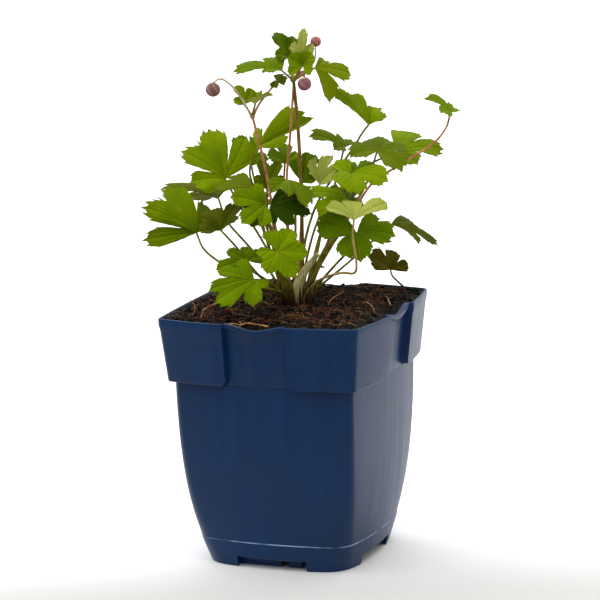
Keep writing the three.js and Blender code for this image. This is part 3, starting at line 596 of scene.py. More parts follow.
looseRoots = [  # single fibres that stand out in the front view, as points in the plant's frame
    {"width": 0.28, "route": [(-60, -46, 2), (-58, -47, 7), (-51, -48, 11), (-42, -48, 13), (-32, -46, 12)]},
    {"width": 0.34, "route": [(-35, -72, 1.2), (-31, -70, 2.4), (-24, -71, 1.6), (-17, -73, 0.6)]},
    {"width": 0.31, "route": [(-42, -64, 1), (-38, -68, 1.8), (-34, -72, 1.4)]},
    {"width": 0.22, "route": [(-36, -60, 1), (-34, -66, 2.2), (-35, -72, 0.8)]},
    {"width": 0.31, "route": [(-66, -34, 0), (-64, -33, 6), (-67, -32, 11)]},
    {"width": 0.25, "route": [(20, -24, 0), (24, -24, 7), (29, -23, 10), (32, -22, 12)]},
    {"width": 0.43, "route": [(44, -10, 0), (46, -12, 1.8), (50, -28, 2.2), (51, -38, 1)]},
    {"width": 0.43, "route": [(58, 10, 0.6), (60, 4, 2), (61, -8, 2.2), (62, -18, 1)]},
]


def unevenGround(x, y):
    a, b, c, d = soil["broadWave"]
    e, f = soil["shortWave"]
    return math.sin(x * a + y * b) * math.cos(y * c + x * d) + 0.5 * math.sin(x * e + y * f)


def crumbs(x, y):
    near = Vector((x, y, 0))
    fine = noise.fractal(near * soil["crumbPitch"], 0.7, 2.1, 4, noise_basis="PERLIN_ORIGINAL")
    lumps = noise.voronoi(near * soil["clodPitch"])[0][0]
    return fine * 0.9 + (0.45 - lumps)


def makeSoil():
    foot = plant["rim"] - pot["collarHeight"]
    inset = pot["wall"] + gap
    sink = pot["recessDepth"]
    half = pot["recessHalf"]
    levels = (pot["floorTop"] + gap, 55, foot + pot["wall"] + 0.7)
    rings = [potOutline(bodySize(z), inset, atLevel(z)) for z in levels]
    rings.append(potOutline(collarSize(foot), inset, atLevel(foot + pot["wall"] + 1.8), sink, half + inset))
    rings.append(potOutline(collarSize(plant["rim"]), inset, rimLine(soil["edgeDrop"]), sink, half + inset))
    bank = potOutline(collarSize(plant["rim"]), inset + soil["bank"], atLevel(plant["rim"]), sink, half + inset)
    middle = plantSpin @ Vector((crown["x"], crown["y"], 0))
    edge = rings[-1]
    for ring in range(soil["rings"]):
        share = 1 - ring / (soil["rings"] - 1) * 0.99
        row = []
        for k, outside in enumerate(bank):
            x, y = mix(middle.x, outside.x, share), mix(middle.y, outside.y, share)
            rise = soil["rise"] * math.sin(math.pi * share) + soil["roughness"] * unevenGround(x, y)
            height = plant["rim"] + rise + soil["crumb"] * crumbs(x, y)
            blendIn = smooth((1 - share) * soil["settle"])  # the outermost rings settle to the pot's wall
            row.append(Vector((x, y, mix(edge[k].z + 0.25, height, blendIn))))
        rings.append(row)
    points, faces = skin(rings)
    body = meshObject("pottingSoil", [p / 1000 + potAxis for p in points], faces)
    editMesh(body, (bpy.ops.mesh.normals_make_consistent, {"inside": False}))
    return body


def insidePot(x, y, margin):  # mm about the pot's axis; margin is kept from the collar's outside
    for side, (bow, recessed) in enumerate(zip(pot["collarBows"], pot["recessed"])):
        along, out = (Matrix.Rotation(-side * math.pi / 2, 2) @ Vector((x, y))) * Vector((1, -1))
        edge = pot["rimHalf"] + bow * (1 - (along / pot["rimHalf"]) ** 2) - margin
        if recessed and abs(along) < pot["recessHalf"] + 2 * pot["wall"]:
            edge -= pot["recessDepth"]
        if out > edge:
            return False
    return True


def makeClods(ground):  # clods of peat and bark half sunk in the surface
    random.seed(clods["seed"])
    bm = bmesh.new()
    for _ in range(clods["count"]):
        x, y = random.uniform(-spread, spread), random.uniform(-spread, spread)
        size = random.uniform(*clods["size"])
        if not insidePot(x, y, clods["margin"]):
            continue
        spot = Matrix.Translation(fromPot(x, y, ground(x, y) + size * clods["raised"]))
        turn = Matrix.Rotation(random.uniform(0, math.tau), 4, Vector((random.random(), random.random(), 1)))
        scale = Matrix.Diagonal((size * random.uniform(*clods["long"]), size * random.uniform(*clods["wide"]),
                                 size * clods["tall"], 1))
        made = bmesh.ops.create_icosphere(bm, subdivisions=1, radius=0.001, matrix=spot @ turn @ scale)
        for vertex in made["verts"]:
            vertex.co += noise.noise_vector(vertex.co * clods["dentPitch"]) * clods["dent"] / 1000 * size
    mesh = bpy.data.meshes.new("peatClods")
    bm.to_mesh(mesh)
    bm.free()
    piece = bpy.data.objects.new("peatClods", mesh)
    bpy.context.scene.collection.objects.link(piece)
    return piece


def strawRuns(kind, ground):
    random.seed(kind["seed"])
    runs = []
    spans = fibres["joints"] - 1
    while len(runs) < kind["count"]:
        x, y = random.uniform(-spread, spread), random.uniform(-spread, spread)
        heading, curl = random.uniform(0, math.tau), random.uniform(-fibres["curl"], fibres["curl"])
        length, radius = random.uniform(*kind["length"]), random.uniform(*kind["radius"])
        lift = random.uniform(fibres["leastLift"], kind["lift"])
        run = []
        for joint in range(fibres["joints"]):
            share = joint / spans
            if not insidePot(x, y, fibres["margin"]):
                break
            arch = lift * math.sin(math.pi * share) - fibres["sink"]
            thick = radius * (1 - fibres["taper"] * abs(2 * share - 1) ** 3)
            run.append((fromPot(x, y, ground(x, y) + arch), thick / 1000))
            x += length / spans * math.cos(heading)
            y += length / spans * math.sin(heading)
            heading += curl * length / spans
        if len(run) == fibres["joints"]:
            runs.append(run)
    return runs


soilLook = {  # peat with bark dust: matt, nearly black when moist, with brown flecks
    "shader": {"Roughness": 0.95, "Specular IOR Level": 0.2}, "base": "#030201",
    "layers": [{"size": 9, "detail": 4, "rough": 0.65, "from": 0.35, "to": 0.7, "colour": "#0c0704"},
               {"size": 1.1, "detail": 3, "rough": 0.7, "from": 0.56, "to": 0.74, "most": 0.7,
                "colour": "#1d1008"}],
    "grain": {"size": 1.1, "detail": 3, "rough": 0.7, "depth": 0.5},
}


def strawMaterial(name, dark, light):  # dry plant fibre, split and weathered along its length
    return grownMaterial(name + "Fibre", {
        "shader": {"Roughness": 0.8, "Specular IOR Level": 0.25}, "base": dark,
        "layers": [{"size": 5, "from": 0.38, "to": 0.62, "colour": light}],
        "grain": {"size": 0.6, "detail": 3, "depth": 0.1}})


soilPiece = makeSoil()
bpy.context.view_layer.update()
soilTree = BVHTree.FromObject(soilPiece, bpy.context.evaluated_depsgraph_get())


def groundAt(x, y):  # height of the soil's surface in mm at a place about the pot's axis
    hit = soilTree.ray_cast(fromPot(x, y, plant["rim"] + 40), Vector((0, 0, -1)))[0]
    return hit.z * 1000 if hit else plant["rim"] - 1


peat = grownMaterial("moistPeat", soilLook)
finishPiece(soilPiece, ["soil"], [peat], 80)
finishPiece(makeClods(groundAt), ["soil"], [peat], 80)
for kind in strawKinds:
    finishPiece(tubes(kind["name"], strawRuns(kind, groundAt), 0), ["soil"],
                [strawMaterial(kind["name"], *kind["colours"])], 60)
rootRuns = [[(fromPlant(p), root["width"] / 1000) for p in smoothRoute(root["route"], 5)] for root in looseRoots]
finishPiece(tubes("looseRoots", rootRuns, 1), ["soil"],
            [strawMaterial("looseRoot", "#8a5a30", "#c79a66")], 60)
print("soil made")

# hub is where the stalk meets the blade and tips are those of its lobes, in mm in the plant's frame;
# cleft is the share of the blade left by the cuts between lobes; the colour mark runs from old and dark to young
# and bright and is also set low for leaves deep in the foliage as painted shade; bronze is how far the blade is
# flushed brown
leaves = [
    {"name": "upper_left", "hub": (-43, 14, 81), "ageAndShade": 0.8,
     "tips": [(-66, -2, 82), (-72, 14, 100), (-54, 34, 111), (-29, 26, 106)], "cleft": [0.12, 0.85, 0.12],
     "via": [(-22, 8, 44), (-36, 12, 67)]},
    {"name": "left_low", "hub": (-62, -14, 51), "ageAndShade": 0.75,
     "tips": [(-98, -34, 50), (-96, -34, 73), (-85, -14, 80), (-55, 4, 66)],
     "cleft": [0.15, 0.93, 0.4], "outer": [14, 42],
     "via": [(-20, -18, 16), (-47, -20, 32), (-58, -16, 41)]},
    {"name": "left_back", "hub": (-48, 20, 67), "ageAndShade": 0.35, "bronze": 0.6,
     "tips": [(-69, 4, 69), (-86, 22, 73), (-57, 46, 71)], "cleft": 0.2},
    {"name": "left_inner", "hub": (-46, -24, 54), "ageAndShade": 0.1, "bronze": 0.4,
     "tips": [(-59, -34, 55), (-50, -10, 66), (-34, -6, 68), (-34, -28, 63)], "cleft": 0.6, "outer": [30, 30],
     "via": [(-22, -18, 22), (-37, -22, 43)]},
    {"name": "left_front", "hub": (-17, -34, 72), "ageAndShade": 0.7,
     "tips": [(-20, -48, 60), (-33, -50, 62), (-40, -40, 78), (-24, -30, 85)],
     "cleft": [0.6, 0.4, 0.7], "outer": [30, 25]},
    {"name": "long_left", "hub": (-25, -9, 79), "ageAndShade": 0.45, "bronze": 0.35,
     "tips": [(-35, -22, 73), (-51, -8, 78), (-40, 10, 83)], "cleft": 0.5, "outer": [42, 25]},
    {"name": "inner_dark", "hub": (-20, -14, 63), "ageAndShade": -0.1,
     "tips": [(-27, -22, 55), (-33, -12, 63)], "cleft": 0.5},
    {"name": "dark_mid", "hub": (-14, -30, 70), "ageAndShade": -0.1,
     "tips": [(-11, -40, 60), (2, -42, 59), (13, -38, 66), (10, -30, 76), (-2, -24, 79)],
     "cleft": 0.8, "outer": [20, 25]},
    {"name": "mid_front", "hub": (-3, -30, 87), "ageAndShade": 0.55, "bronze": 0.25,
     "tips": [(-13, -42, 81), (-2, -48, 79), (9, -44, 70)], "cleft": [0.75, 0.5],
     "via": [(1, -12, 30), (2, -16, 60), (1, -21, 78)]},
    {"name": "inner_upper", "hub": (-16, 6, 75), "ageAndShade": 0.4, "bronze": 0.3,
     "tips": [(-24, 0, 85), (-19, 12, 94), (-8, 12, 93), (-5, 4, 84)], "cleft": [0.7, 0.75, 0.7]},
    {"name": "right_mid", "hub": (35, -22, 72), "ageAndShade": 0.8,
     "tips": [(28, -34, 69), (16, -38, 63), (10, -22, 77), (24, -8, 78)], "cleft": 0.5, "outer": [42, 15],
     "via": [(15, -7, 24), (32, -7, 50), (35, -11, 65)]},
    {"name": "pale", "hub": (39, -54, 64), "ageAndShade": 0.6, "underside": True, "petiole": "tan",
     "tips": [(21, -54, 73), (38, -38, 73), (61, -42, 72)], "cleft": 0.35, "outer": [30, 20],
     "via": [(14, -14, 16), (30, -34, 26), (39, -44, 28), (40, -50, 37), (38, -53, 53)]},
    {"name": "right_low", "hub": (41, -28, 51), "ageAndShade": 0.45,
     "tips": [(54, -16, 60), (66, -36, 50), (43, -46, 35), (17, -18, 60)],
     "cleft": [0.75, 0.5, 0.3], "outer": [20, 30]},
    {"name": "far_right", "hub": (64, 4, 50), "ageAndShade": 0.25, "bronze": 0.5,
     "tips": [(82, -12, 39), (94, 2, 34), (80, 22, 45)], "cleft": 0.3, "outer": [20, 30],
     "via": [(12, -8, 9), (24, -6, 18), (41, -2, 31)]},
    {"name": "right_bright", "hub": (38, -20, 88), "ageAndShade": 0.85,
     "tips": [(30, -12, 96), (43, -38, 77), (62, -28, 83)], "cleft": 0.5,
     "via": [(13, -9, 20), (27, -3, 52), (35, -5, 76)]},
    {"name": "right_edge", "hub": (56, 10, 97), "ageAndShade": 0.6, "bronze": 0.3,
     "tips": [(72, -4, 86), (67, 34, 100), (43, 30, 100), (38, 0, 96)], "cleft": [0.35, 0.7, 0.7]},
    {"name": "right_top", "hub": (70, 34, 93), "ageAndShade": 0.75,
     "tips": [(83, 20, 86), (101, 38, 92), (81, 58, 101)], "cleft": 0.35,
     "via": [(9, 4, 30), (21, 14, 60), (48, 26, 84)]},
    {"name": "curl_right", "hub": (105, 26, 119), "ageAndShade": 0.7, "petiole": "pink",
     "tips": [(98, 14, 121), (88, 28, 129), (108, 36, 121)], "cleft": 0.4,
     "via": [(18, -1, 26), (40, 3, 60), (54, 4, 79), (68, 6, 87), (81, 10, 94), (94, 18, 101), (102, 23, 110)]},
    {"name": "top_right", "hub": (51, 10, 115), "ageAndShade": 0.8,
     "tips": [(28, 10, 138), (43, 22, 135), (54, 22, 125), (63, 4, 121)],
     "cleft": [0.85, 0.8, 0.7], "outer": [12, 25],
     "via": [(6, 4, 30), (15, 16, 60), (34, 34, 86), (42, 37, 97), (47, 26, 107)]},
    {"name": "side_right", "hub": (35, 24, 98), "ageAndShade": 0.5, "bronze": 0.3,
     "tips": [(28, 12, 99), (12, 20, 107), (35, 38, 102)], "cleft": 0.35},
    {"name": "pale_under", "hub": (18, 0, 78), "ageAndShade": 0.5, "underside": True,
     "tips": [(30, -10, 90), (27, 4, 97), (13, 12, 94)], "cleft": 0.45, "outer": [42, 14]},
    {"name": "stem_left", "hub": (-4, 26, 88), "ageAndShade": 0.5,
     "tips": [(-16, 20, 95), (-3, 44, 98), (5, 36, 94)], "cleft": 0.35},
    {"name": "yellow_up", "hub": (-21, 10, 102), "ageAndShade": 0.9,
     "tips": [(-22, 22, 113), (-1, 0, 110), (16, 20, 119)], "cleft": 0.25, "outer": [20, 20],
     "via": [(-18, 2, 60), (-27, 9, 87)]},
    {"name": "front", "hub": (-10, -55, 45), "ageAndShade": 0.75,
     "tips": [(-18, -46, 57), (-24, -55, 45), (-17, -64, 32), (1, -64, 29), (10, -56, 43), (0, -46, 58)],
     "cleft": 0.78, "outer": [20, 20]},
    {"name": "low_left", "hub": (-25, -54, 27), "ageAndShade": 0.6,
     "tips": [(-36, -45, 38), (-49, -50, 32), (-55, -60, 22), (-51, -66, 14), (-26, -68, 12), (-16, -62, 24)],
     "cleft": [0.75, 0.5, 0.9, 0.4, 0.75], "outer": [25, 25]},
    {"name": "low_left_back", "hub": (-30, -40, 37), "ageAndShade": 0.35,
     "tips": [(-50, -44, 32), (-43, -38, 43), (-32, -34, 45), (-19, -36, 39)], "cleft": 0.6},
    {"name": "dark_up", "hub": (-26, 34, 86), "ageAndShade": 0.35,
     "tips": [(-34, 46, 105), (-24, 56, 102), (-18, 44, 93)], "cleft": 0.5,
     "via": [(-8, 4, 30), (-18, 18, 60), (-24, 27, 76)]},
    {"name": "behind_mid", "hub": (7, 10, 78), "ageAndShade": 0.45,
     "tips": [(4, 14, 94), (11, 24, 96), (16, 8, 81)], "cleft": 0.4},
    {"name": "back_right", "hub": (35, 24, 60), "ageAndShade": 0.2,
     "tips": [(24, 28, 63), (40, 44, 66), (48, 40, 57)], "cleft": 0.4},
    {"name": "back_left", "hub": (-20, 30, 60), "ageAndShade": 0.3,
     "tips": [(-33, 44, 57), (-20, 56, 65), (-11, 40, 58)], "cleft": 0.4},
    {"name": "rear_mid", "hub": (6, 46, 60), "ageAndShade": 0.4,
     "tips": [(-8, 58, 62), (8, 70, 66), (20, 58, 62)], "cleft": 0.4},
    {"name": "rear_right", "hub": (44, 50, 74), "ageAndShade": 0.4,
     "tips": [(34, 66, 80), (56, 66, 80), (62, 48, 76)], "cleft": 0.4},
    {"name": "rear_low", "hub": (8, 22, 16), "ageAndShade": 0.2,
     "tips": [(-4, 30, 18), (10, 36, 16), (20, 28, 18)], "cleft": 0.5},
    {"name": "runner", "hub": (64, 34, 14), "ageAndShade": -0.05, "bronze": 0.8,
     "tips": [(49, 26, 25), (66, 44, 25), (76, 38, 17)], "cleft": 0.35},
    {"name": "whorl_left", "root": (3, -4, 147), "hub": (-4, -8, 154), "ageAndShade": 0.6, "bronze": 0.1,
     "tips": [(-17, -18, 154), (-36, -8, 153), (-13, 8, 160)], "cleft": 0.4},
    {"name": "whorl_upper_left", "root": (3, -4, 147), "hub": (0, 5, 161), "ageAndShade": 0.3,
     "tips": [(-9, -2, 164), (-9, 10, 177), (4, 15, 173)], "cleft": [0.6, 0.8]},
    {"name": "whorl_pale", "root": (3, -4, 147), "hub": (9, -2, 158), "ageAndShade": 0.6, "underside": True,
     "tips": [(16, -6, 171), (11, 0, 181), (4, 0, 172)], "cleft": 0.85, "outer": [25, 25]},
    {"name": "whorl_front", "root": (3, -4, 147), "hub": (9, -13, 158), "ageAndShade": 0.8,
     "tips": [(0, -21, 153), (0, -14, 164), (16, -15, 166), (14, -22, 153)], "cleft": 0.7, "outer": [20, 20]},
    {"name": "whorl_right", "root": (3, -4, 147), "hub": (17, -4, 155), "ageAndShade": 0.9, "bronze": 0.35,
     "tips": [(26, -14, 133), (41, 2, 149), (24, 10, 158)], "cleft": 0.3, "outer": [12, 20]},
    {"name": "left_whorl_broad", "root": (-24, -12, 126), "hub": (-29, -9, 133), "ageAndShade": 0.95,
     "tips": [(-36, -12, 137), (-34, -4, 145), (-24, 0, 142)], "cleft": 0.5},
    {"name": "left_whorl_side", "root": (-24, -12, 126), "hub": (-22, -14, 134), "ageAndShade": 0.95,
     "tips": [(-24, -21, 139), (-10, -18, 140), (-17, -11, 142)], "cleft": 0.5},
    {"name": "left_whorl_end", "root": (-9, 0, 144), "hub": (-8, 0, 147), "ageAndShade": 0.6, "bronze": 0.3,
     "tips": [(-8, -9, 143), (-3, -7, 145), (-6, 6, 150)], "cleft": 0.5},
]
blade = {
    "baseCut": 0.25, "outerHalf": 42, "arch": 0.1, "fold": 0.2, "thickness": 0.42,
    "columns": 34, "rings": (0, 0.07, 0.18, 0.32, 0.46, 0.6, 0.73, 0.84, 0.93, 1),
    # outline of half a lobe: share of the angle from its rib, share of its length
    "outline": ((0, 1), (0.04, 0.96), (0.13, 0.925), (0.34, 0.93), (0.56, 0.88), (0.8, 0.8), (0.93, 0.7)),
    "coarseTooth": 5.6, "fineTooth": 1.9,  # mm between teeth
    "coarseDepth": 0.07, "fineDepth": 0.7,  # share of the lobe's length, and mm
    "toothFadeIn": 9, "toothFadeOut": 7, "crowding": 1.35, "cutShare": 0.45, "toothedFrom": 0.8,
    "veinStep": 4.6, "veinLean": 1.15, "quilt": 0.28, "quiltFrom": 2.5, "quiltTo": 13, "quiltHub": 3,  # mm
    "groove": 0.35, "grooveHalf": 0.8, "ripple": 0.04, "ripples": 7, "mapSize": 100,
}


def leafFrame(leaf):
    hub = Vector(leaf["hub"])
    reach = [Vector(tip) - hub for tip in leaf["tips"]]
    normal = Vector()
    for a, b in zip(reach, reach[1:]):
        normal += b.normalized().cross(a.normalized())
    normal.normalize()
    if normal.z < 0:
        normal.negate()
    middle = reach[len(reach) // 2]
    ahead = (middle - normal * middle.dot(normal)).normalized()
    left = normal.cross(ahead)
    outer = leaf.get("outer", (blade["outerHalf"], blade["outerHalf"]))
    lobes = []
    for k, arm in enumerate(reach):
        length = math.hypot(arm.dot(ahead), arm.dot(left))
        lobes.append({"angle": math.atan2(arm.dot(left), arm.dot(ahead)), "length": length, "order": k,
                      "slope": arm.dot(normal) / length, "outer": math.radians(outer[0 if k == 0 else 1])})
    lobes.sort(key=lambda lobe: lobe["angle"])
    return hub, normal, ahead, left, lobes


def between(lobes, angle, key):
    if angle <= lobes[0]["angle"]:
        return lobes[0][key]
    for a, b in zip(lobes, lobes[1:]):
        if angle <= b["angle"]:
            return mix(a[key], b[key], smooth((angle - a["angle"]) / (b["angle"] - a["angle"])))
    return lobes[-1][key]


def cutLength(lobes, leaf, k):
    if k < 0 or k + 1 == len(lobes):
        return lobes[max(k, 0)]["length"] * blade["baseCut"]
    cleft = leaf["cleft"]
    if isinstance(cleft, list):
        cleft = cleft[min(lobes[k]["order"], lobes[k + 1]["order"])]
    return cleft * (lobes[k]["length"] + lobes[k + 1]["length"]) / 2


def leafColumns(leaf, lobes):  # angle, smooth length, toothed length, and the rib's angle, for each column
    columns = []
    half = blade["columns"]
    for k, lobe in enumerate(lobes):
        before = (lobe["angle"] - lobes[k - 1]["angle"]) / 2 if k else lobe["outer"]
        after = (lobes[k + 1]["angle"] - lobe["angle"]) / 2 if k + 1 < len(lobes) else lobe["outer"]
        for sense, wide in ((-1, before), (1, after)):
            cut = cutLength(lobes, leaf, k - 1 if sense < 0 else k)
            outline = [(x, y * lobe["length"]) for x, y in blade["outline"]]
            outline[-1] = (outline[-1][0], mix(outline[-1][1], cut, blade["cutShare"]))
            outline.append((1, cut))
            travelled, previous, side = 0, None, []
            for step in range(half + 1):
                turn = 1 - (1 - step / half) ** blade["crowding"]
                plain = alongTable(outline, turn)
                spot = Vector((plain * math.cos(turn * wide), plain * math.sin(turn * wide)))
                travelled += (spot - previous).length if previous else 0
                previous = spot
                fade = min(1, turn * blade["toothFadeIn"]) * min(1, (1 - turn) * blade["toothFadeOut"])
                coarse = (travelled / blade["coarseTooth"]) % 1
                fine = (travelled / blade["fineTooth"]) % 1
                tooth = fade * (blade["coarseDepth"] * lobe["length"] * (0.5 - coarse)
                                + blade["fineDepth"] * (0.5 - fine))
                side.append((lobe["angle"] + sense * turn * wide, plain, plain + tooth, lobe["angle"]))
            columns += side[:0:-1] if sense < 0 else side
    return columns


def leafHeight(leaf, lobes, angle, rib, distance):
    length = between(lobes, angle, "length")
    share = distance / length
    off = min(abs(math.sin(angle - lobe["angle"])) for lobe in lobes)
    across, along = abs(distance * math.sin(angle - rib)), distance * math.cos(angle - rib)
    height = between(lobes, angle, "slope") * distance
    height += blade["arch"] * length * 4 * share * (1 - share) + blade["fold"] * distance * off
    height -= blade["groove"] * math.exp(-(across / blade["grooveHalf"]) ** 2)
    wave = math.cos(math.tau * (along - across * blade["veinLean"]) / blade["veinStep"])
    fade = smooth(across / blade["quiltFrom"]) * (1 - smooth((across - blade["quiltFrom"]) / blade["quiltTo"]))
    height -= blade["quilt"] * wave * fade * min(1, share * blade["quiltHub"])
    height += blade["ripple"] * length * share ** 2 * math.sin(angle * blade["ripples"] + leaf["hub"][0])
    return height


def makeLeaf(leaf):
    hub, normal, ahead, left, lobes = leafFrame(leaf)
    columns = leafColumns(leaf, lobes)[::-1]
    rings, smoothPart = blade["rings"], blade["toothedFrom"]
    bpy.ops.mesh.primitive_grid_add(x_subdivisions=len(columns) - 1, y_subdivisions=len(rings) - 1, size=1)
    piece = bpy.context.active_object
    piece.name = "blade_" + leaf["name"]
    mesh = piece.data
    mesh.name = piece.name
    spots, flat = [], []
    for ring in rings:
        for angle, plain, toothed, rib in columns:
            distance = ring * mix(plain, toothed, smooth((ring - smoothPart) / (1 - smoothPart)))
            rise = leafHeight(leaf, lobes, angle, rib, distance)
            point = hub + ahead * distance * math.cos(angle) + left * distance * math.sin(angle) + normal * rise
            spots.append(fromPlant(point))
            flat.append((distance * math.sin(angle - rib), distance * math.cos(angle - rib)))
    mesh.vertices.foreach_set("co", [c for spot in spots for c in spot])
    uv = mesh.uv_layers[0].data
    for loop in mesh.loops:
        uv[loop.index].uv = [mm / blade["mapSize"] for mm in flat[loop.vertex_index]]  # across and along the rib
    marks = {"ageAndShade": [leaf["ageAndShade"]] * len(spots), "bronze": [leaf.get("bronze", 0.0)] * len(spots),
             "margin": [ring for ring in rings for _ in columns]}
    for mark, values in marks.items():
        mesh.attributes.new(mark, "FLOAT", "POINT").data.foreach_set("value", values)
    mesh.update()
    editMesh(piece, (bpy.ops.mesh.remove_doubles, {"threshold": 0.00002}))
    materials = [leafUnder, leafTop] if leaf.get("underside") else [leafTop, leafUnder]
    for material in materials:
        piece.data.materials.append(material)
    applyModifier(piece, "SOLIDIFY", thickness=blade["thickness"] / 1000, offset=0, material_offset=1,
                  material_offset_rim=0)
    return finishPiece(piece, ["leaf_" + leaf["name"]], [], 60)


leafLook = {  # sizes in mm
    "cloud": 14, "cloudShare": 0.7, "bronze": "#5e4c12", "fleck": 0.9, "fleckMost": 0.16,
    "ribHalf": (0.12, 0.5), "sideVein": (0.42, 0.5), "veinShow": (0.08, 0.4), "sideShow": 0.4,
    "dry": "#6b4a12", "dryRing": 0.955, "dryLength": 10, "dryMost": 0.6,
    "grain": 1.3, "grainShare": 0.5, "veinSink": -0.6, "depth": 0.25,
}


def veinPattern(material):  # ribs and side veins, from the leaf's own map
    across = addNode(material, "SeparateXYZ", {0: addNode(material, "UVMap")}, "X")
    along = across.node.outputs["Y"]
    across = addNode(material, "Math", {0: across, 1: blade["mapSize"]}, operation="MULTIPLY")
    across = addNode(material, "Math", {0: across}, operation="ABSOLUTE")
    along = addNode(material, "Math", {0: along, 1: blade["mapSize"]}, operation="MULTIPLY")
    middle, edge = leafLook["ribHalf"]
    rib = addNode(material, "MapRange", {"Value": across, "From Min": middle, "From Max": edge, "To Min": 1,
                                         "To Max": 0}, **eased)
    lean = addNode(material, "Math", {0: across, 1: blade["veinLean"]}, operation="MULTIPLY")
    phase = addNode(material, "Math", {0: along, 1: lean}, operation="SUBTRACT")
    phase = addNode(material, "Math", {0: phase, 1: blade["veinStep"]}, operation="DIVIDE")
    return rib, lineEvery(material, phase, *leafLook["sideVein"])


def leafMaterial(name, dark, middle, bright, vein, gloss):
    # anemone leaf: waxy satin above, downy and pale below, veins a shade lighter than the blade
    material, shader = newMaterial(name, {"Roughness": gloss, "IOR": 1.42, "Specular IOR Level": 0.08,
                                          "Specular Tint": linear("#c4cf5a")})
    place = addNode(material, "TexCoord", out="Object")
    marks = {mark: addNode(material, "Attribute", out="Fac", attribute_name=mark)
             for mark in ("ageAndShade", "bronze", "margin")}
    cloud = addNode(material, "TexNoise", {"Vector": place, "Scale": 1000 / leafLook["cloud"], "Detail": 3}, "Fac")
    uneven = addNode(material, "Math", {0: cloud, 1: 0.5}, operation="SUBTRACT")
    uneven = addNode(material, "Math", {0: uneven, 1: leafLook["cloudShare"]}, operation="MULTIPLY")
    # the colour mark mixes dark, middle and bright green; a low value is partly the leaf's age, partly painted
    # shade for leaves deep in the foliage
    shade = addNode(material, "Math", {0: marks["ageAndShade"], 1: uneven}, operation="ADD")
    half = addNode(material, "MapRange", {"Value": shade, "From Max": 0.5}, **eased)
    colour = addNode(material, "Mix", {0: half, 6: dark, 7: middle}, **colourMix)
    half = addNode(material, "MapRange", {"Value": shade, "From Min": 0.5}, **eased)
    colour = addNode(material, "Mix", {0: half, 6: colour, 7: bright}, **colourMix)
    flush = addNode(material, "MapRange", {"Value": cloud, "From Min": 0.3, "From Max": 0.65,
                                           "To Min": 0.5}, **eased)
    flush = addNode(material, "Math", {0: marks["bronze"], 1: flush}, operation="MULTIPLY")
    colour = addNode(material, "Mix", {0: flush, 6: colour, 7: leafLook["bronze"]}, **colourMix)
    rib, side = veinPattern(material)
    least, most = leafLook["veinShow"]  # veins hardly show on the old dark leaves, nor on those darkened as painted shade
    show = addNode(material, "MapRange", {"Value": marks["ageAndShade"], "From Min": -0.3, "From Max": 0.7,
                                          "To Min": least, "To Max": most}, **eased)
    faint = addNode(material, "Math", {0: show, 1: leafLook["sideShow"]}, operation="MULTIPLY")
    for pattern, strength in ((side, faint), (rib, show)):
        share = addNode(material, "Math", {0: pattern, 1: strength}, operation="MULTIPLY")
        colour = addNode(material, "Mix", {0: share, 6: colour, 7: vein}, **colourMix)
    edge = addNode(material, "MapRange", {"Value": marks["margin"], "From Min": leafLook["dryRing"]}, **eased)
    parts = addNode(material, "TexNoise", {"Vector": place, "Scale": 1000 / leafLook["dryLength"]}, "Fac")
    parts = addNode(material, "MapRange", {"Value": parts, "From Min": 0.4, "From Max": 0.65,
                                           "To Max": leafLook["dryMost"]}, **eased)
    dry = addNode(material, "Math", {0: edge, 1: parts}, operation="MULTIPLY")  # browned edge in places
    colour = addNode(material, "Mix", {0: dry, 6: colour, 7: leafLook["dry"]}, **colourMix)
    colour = patchLayers(material, place, colour, [
        {"size": leafLook["fleck"], "from": 0.35, "to": 0.7, "most": leafLook["fleckMost"], "colour": dark}])
    veins = addNode(material, "Math", {0: rib, 1: side}, operation="MAXIMUM")
    sunk = addNode(material, "Math", {0: veins, 1: leafLook["veinSink"]}, operation="MULTIPLY")
    fine = addNode(material, "TexNoise", {"Vector": place, "Scale": 1000 / leafLook["grain"]}, "Fac")
    fine = addNode(material, "Math", {0: fine, 1: leafLook["grainShare"]}, operation="MULTIPLY")
    height = addNode(material, "Math", {0: sunk, 1: fine}, operation="ADD")
    relief = addNode(material, "Bump", {"Height": height, "Distance": leafLook["depth"] / 1000})
    connect(material, shader, {"Base Color": colour, "Normal": relief})
    return material


leafTop = leafMaterial("anemoneLeafUpper", "#283f01", "#587201", "#768c00", "#9aa01c", 0.62)
leafUnder = leafMaterial("anemoneLeafUnderside", "#56621e", "#939c40", "#b0b45a", "#c4c480", 0.7)
for leaf in leaves:
    makeLeaf(leaf)
print("leaves made")

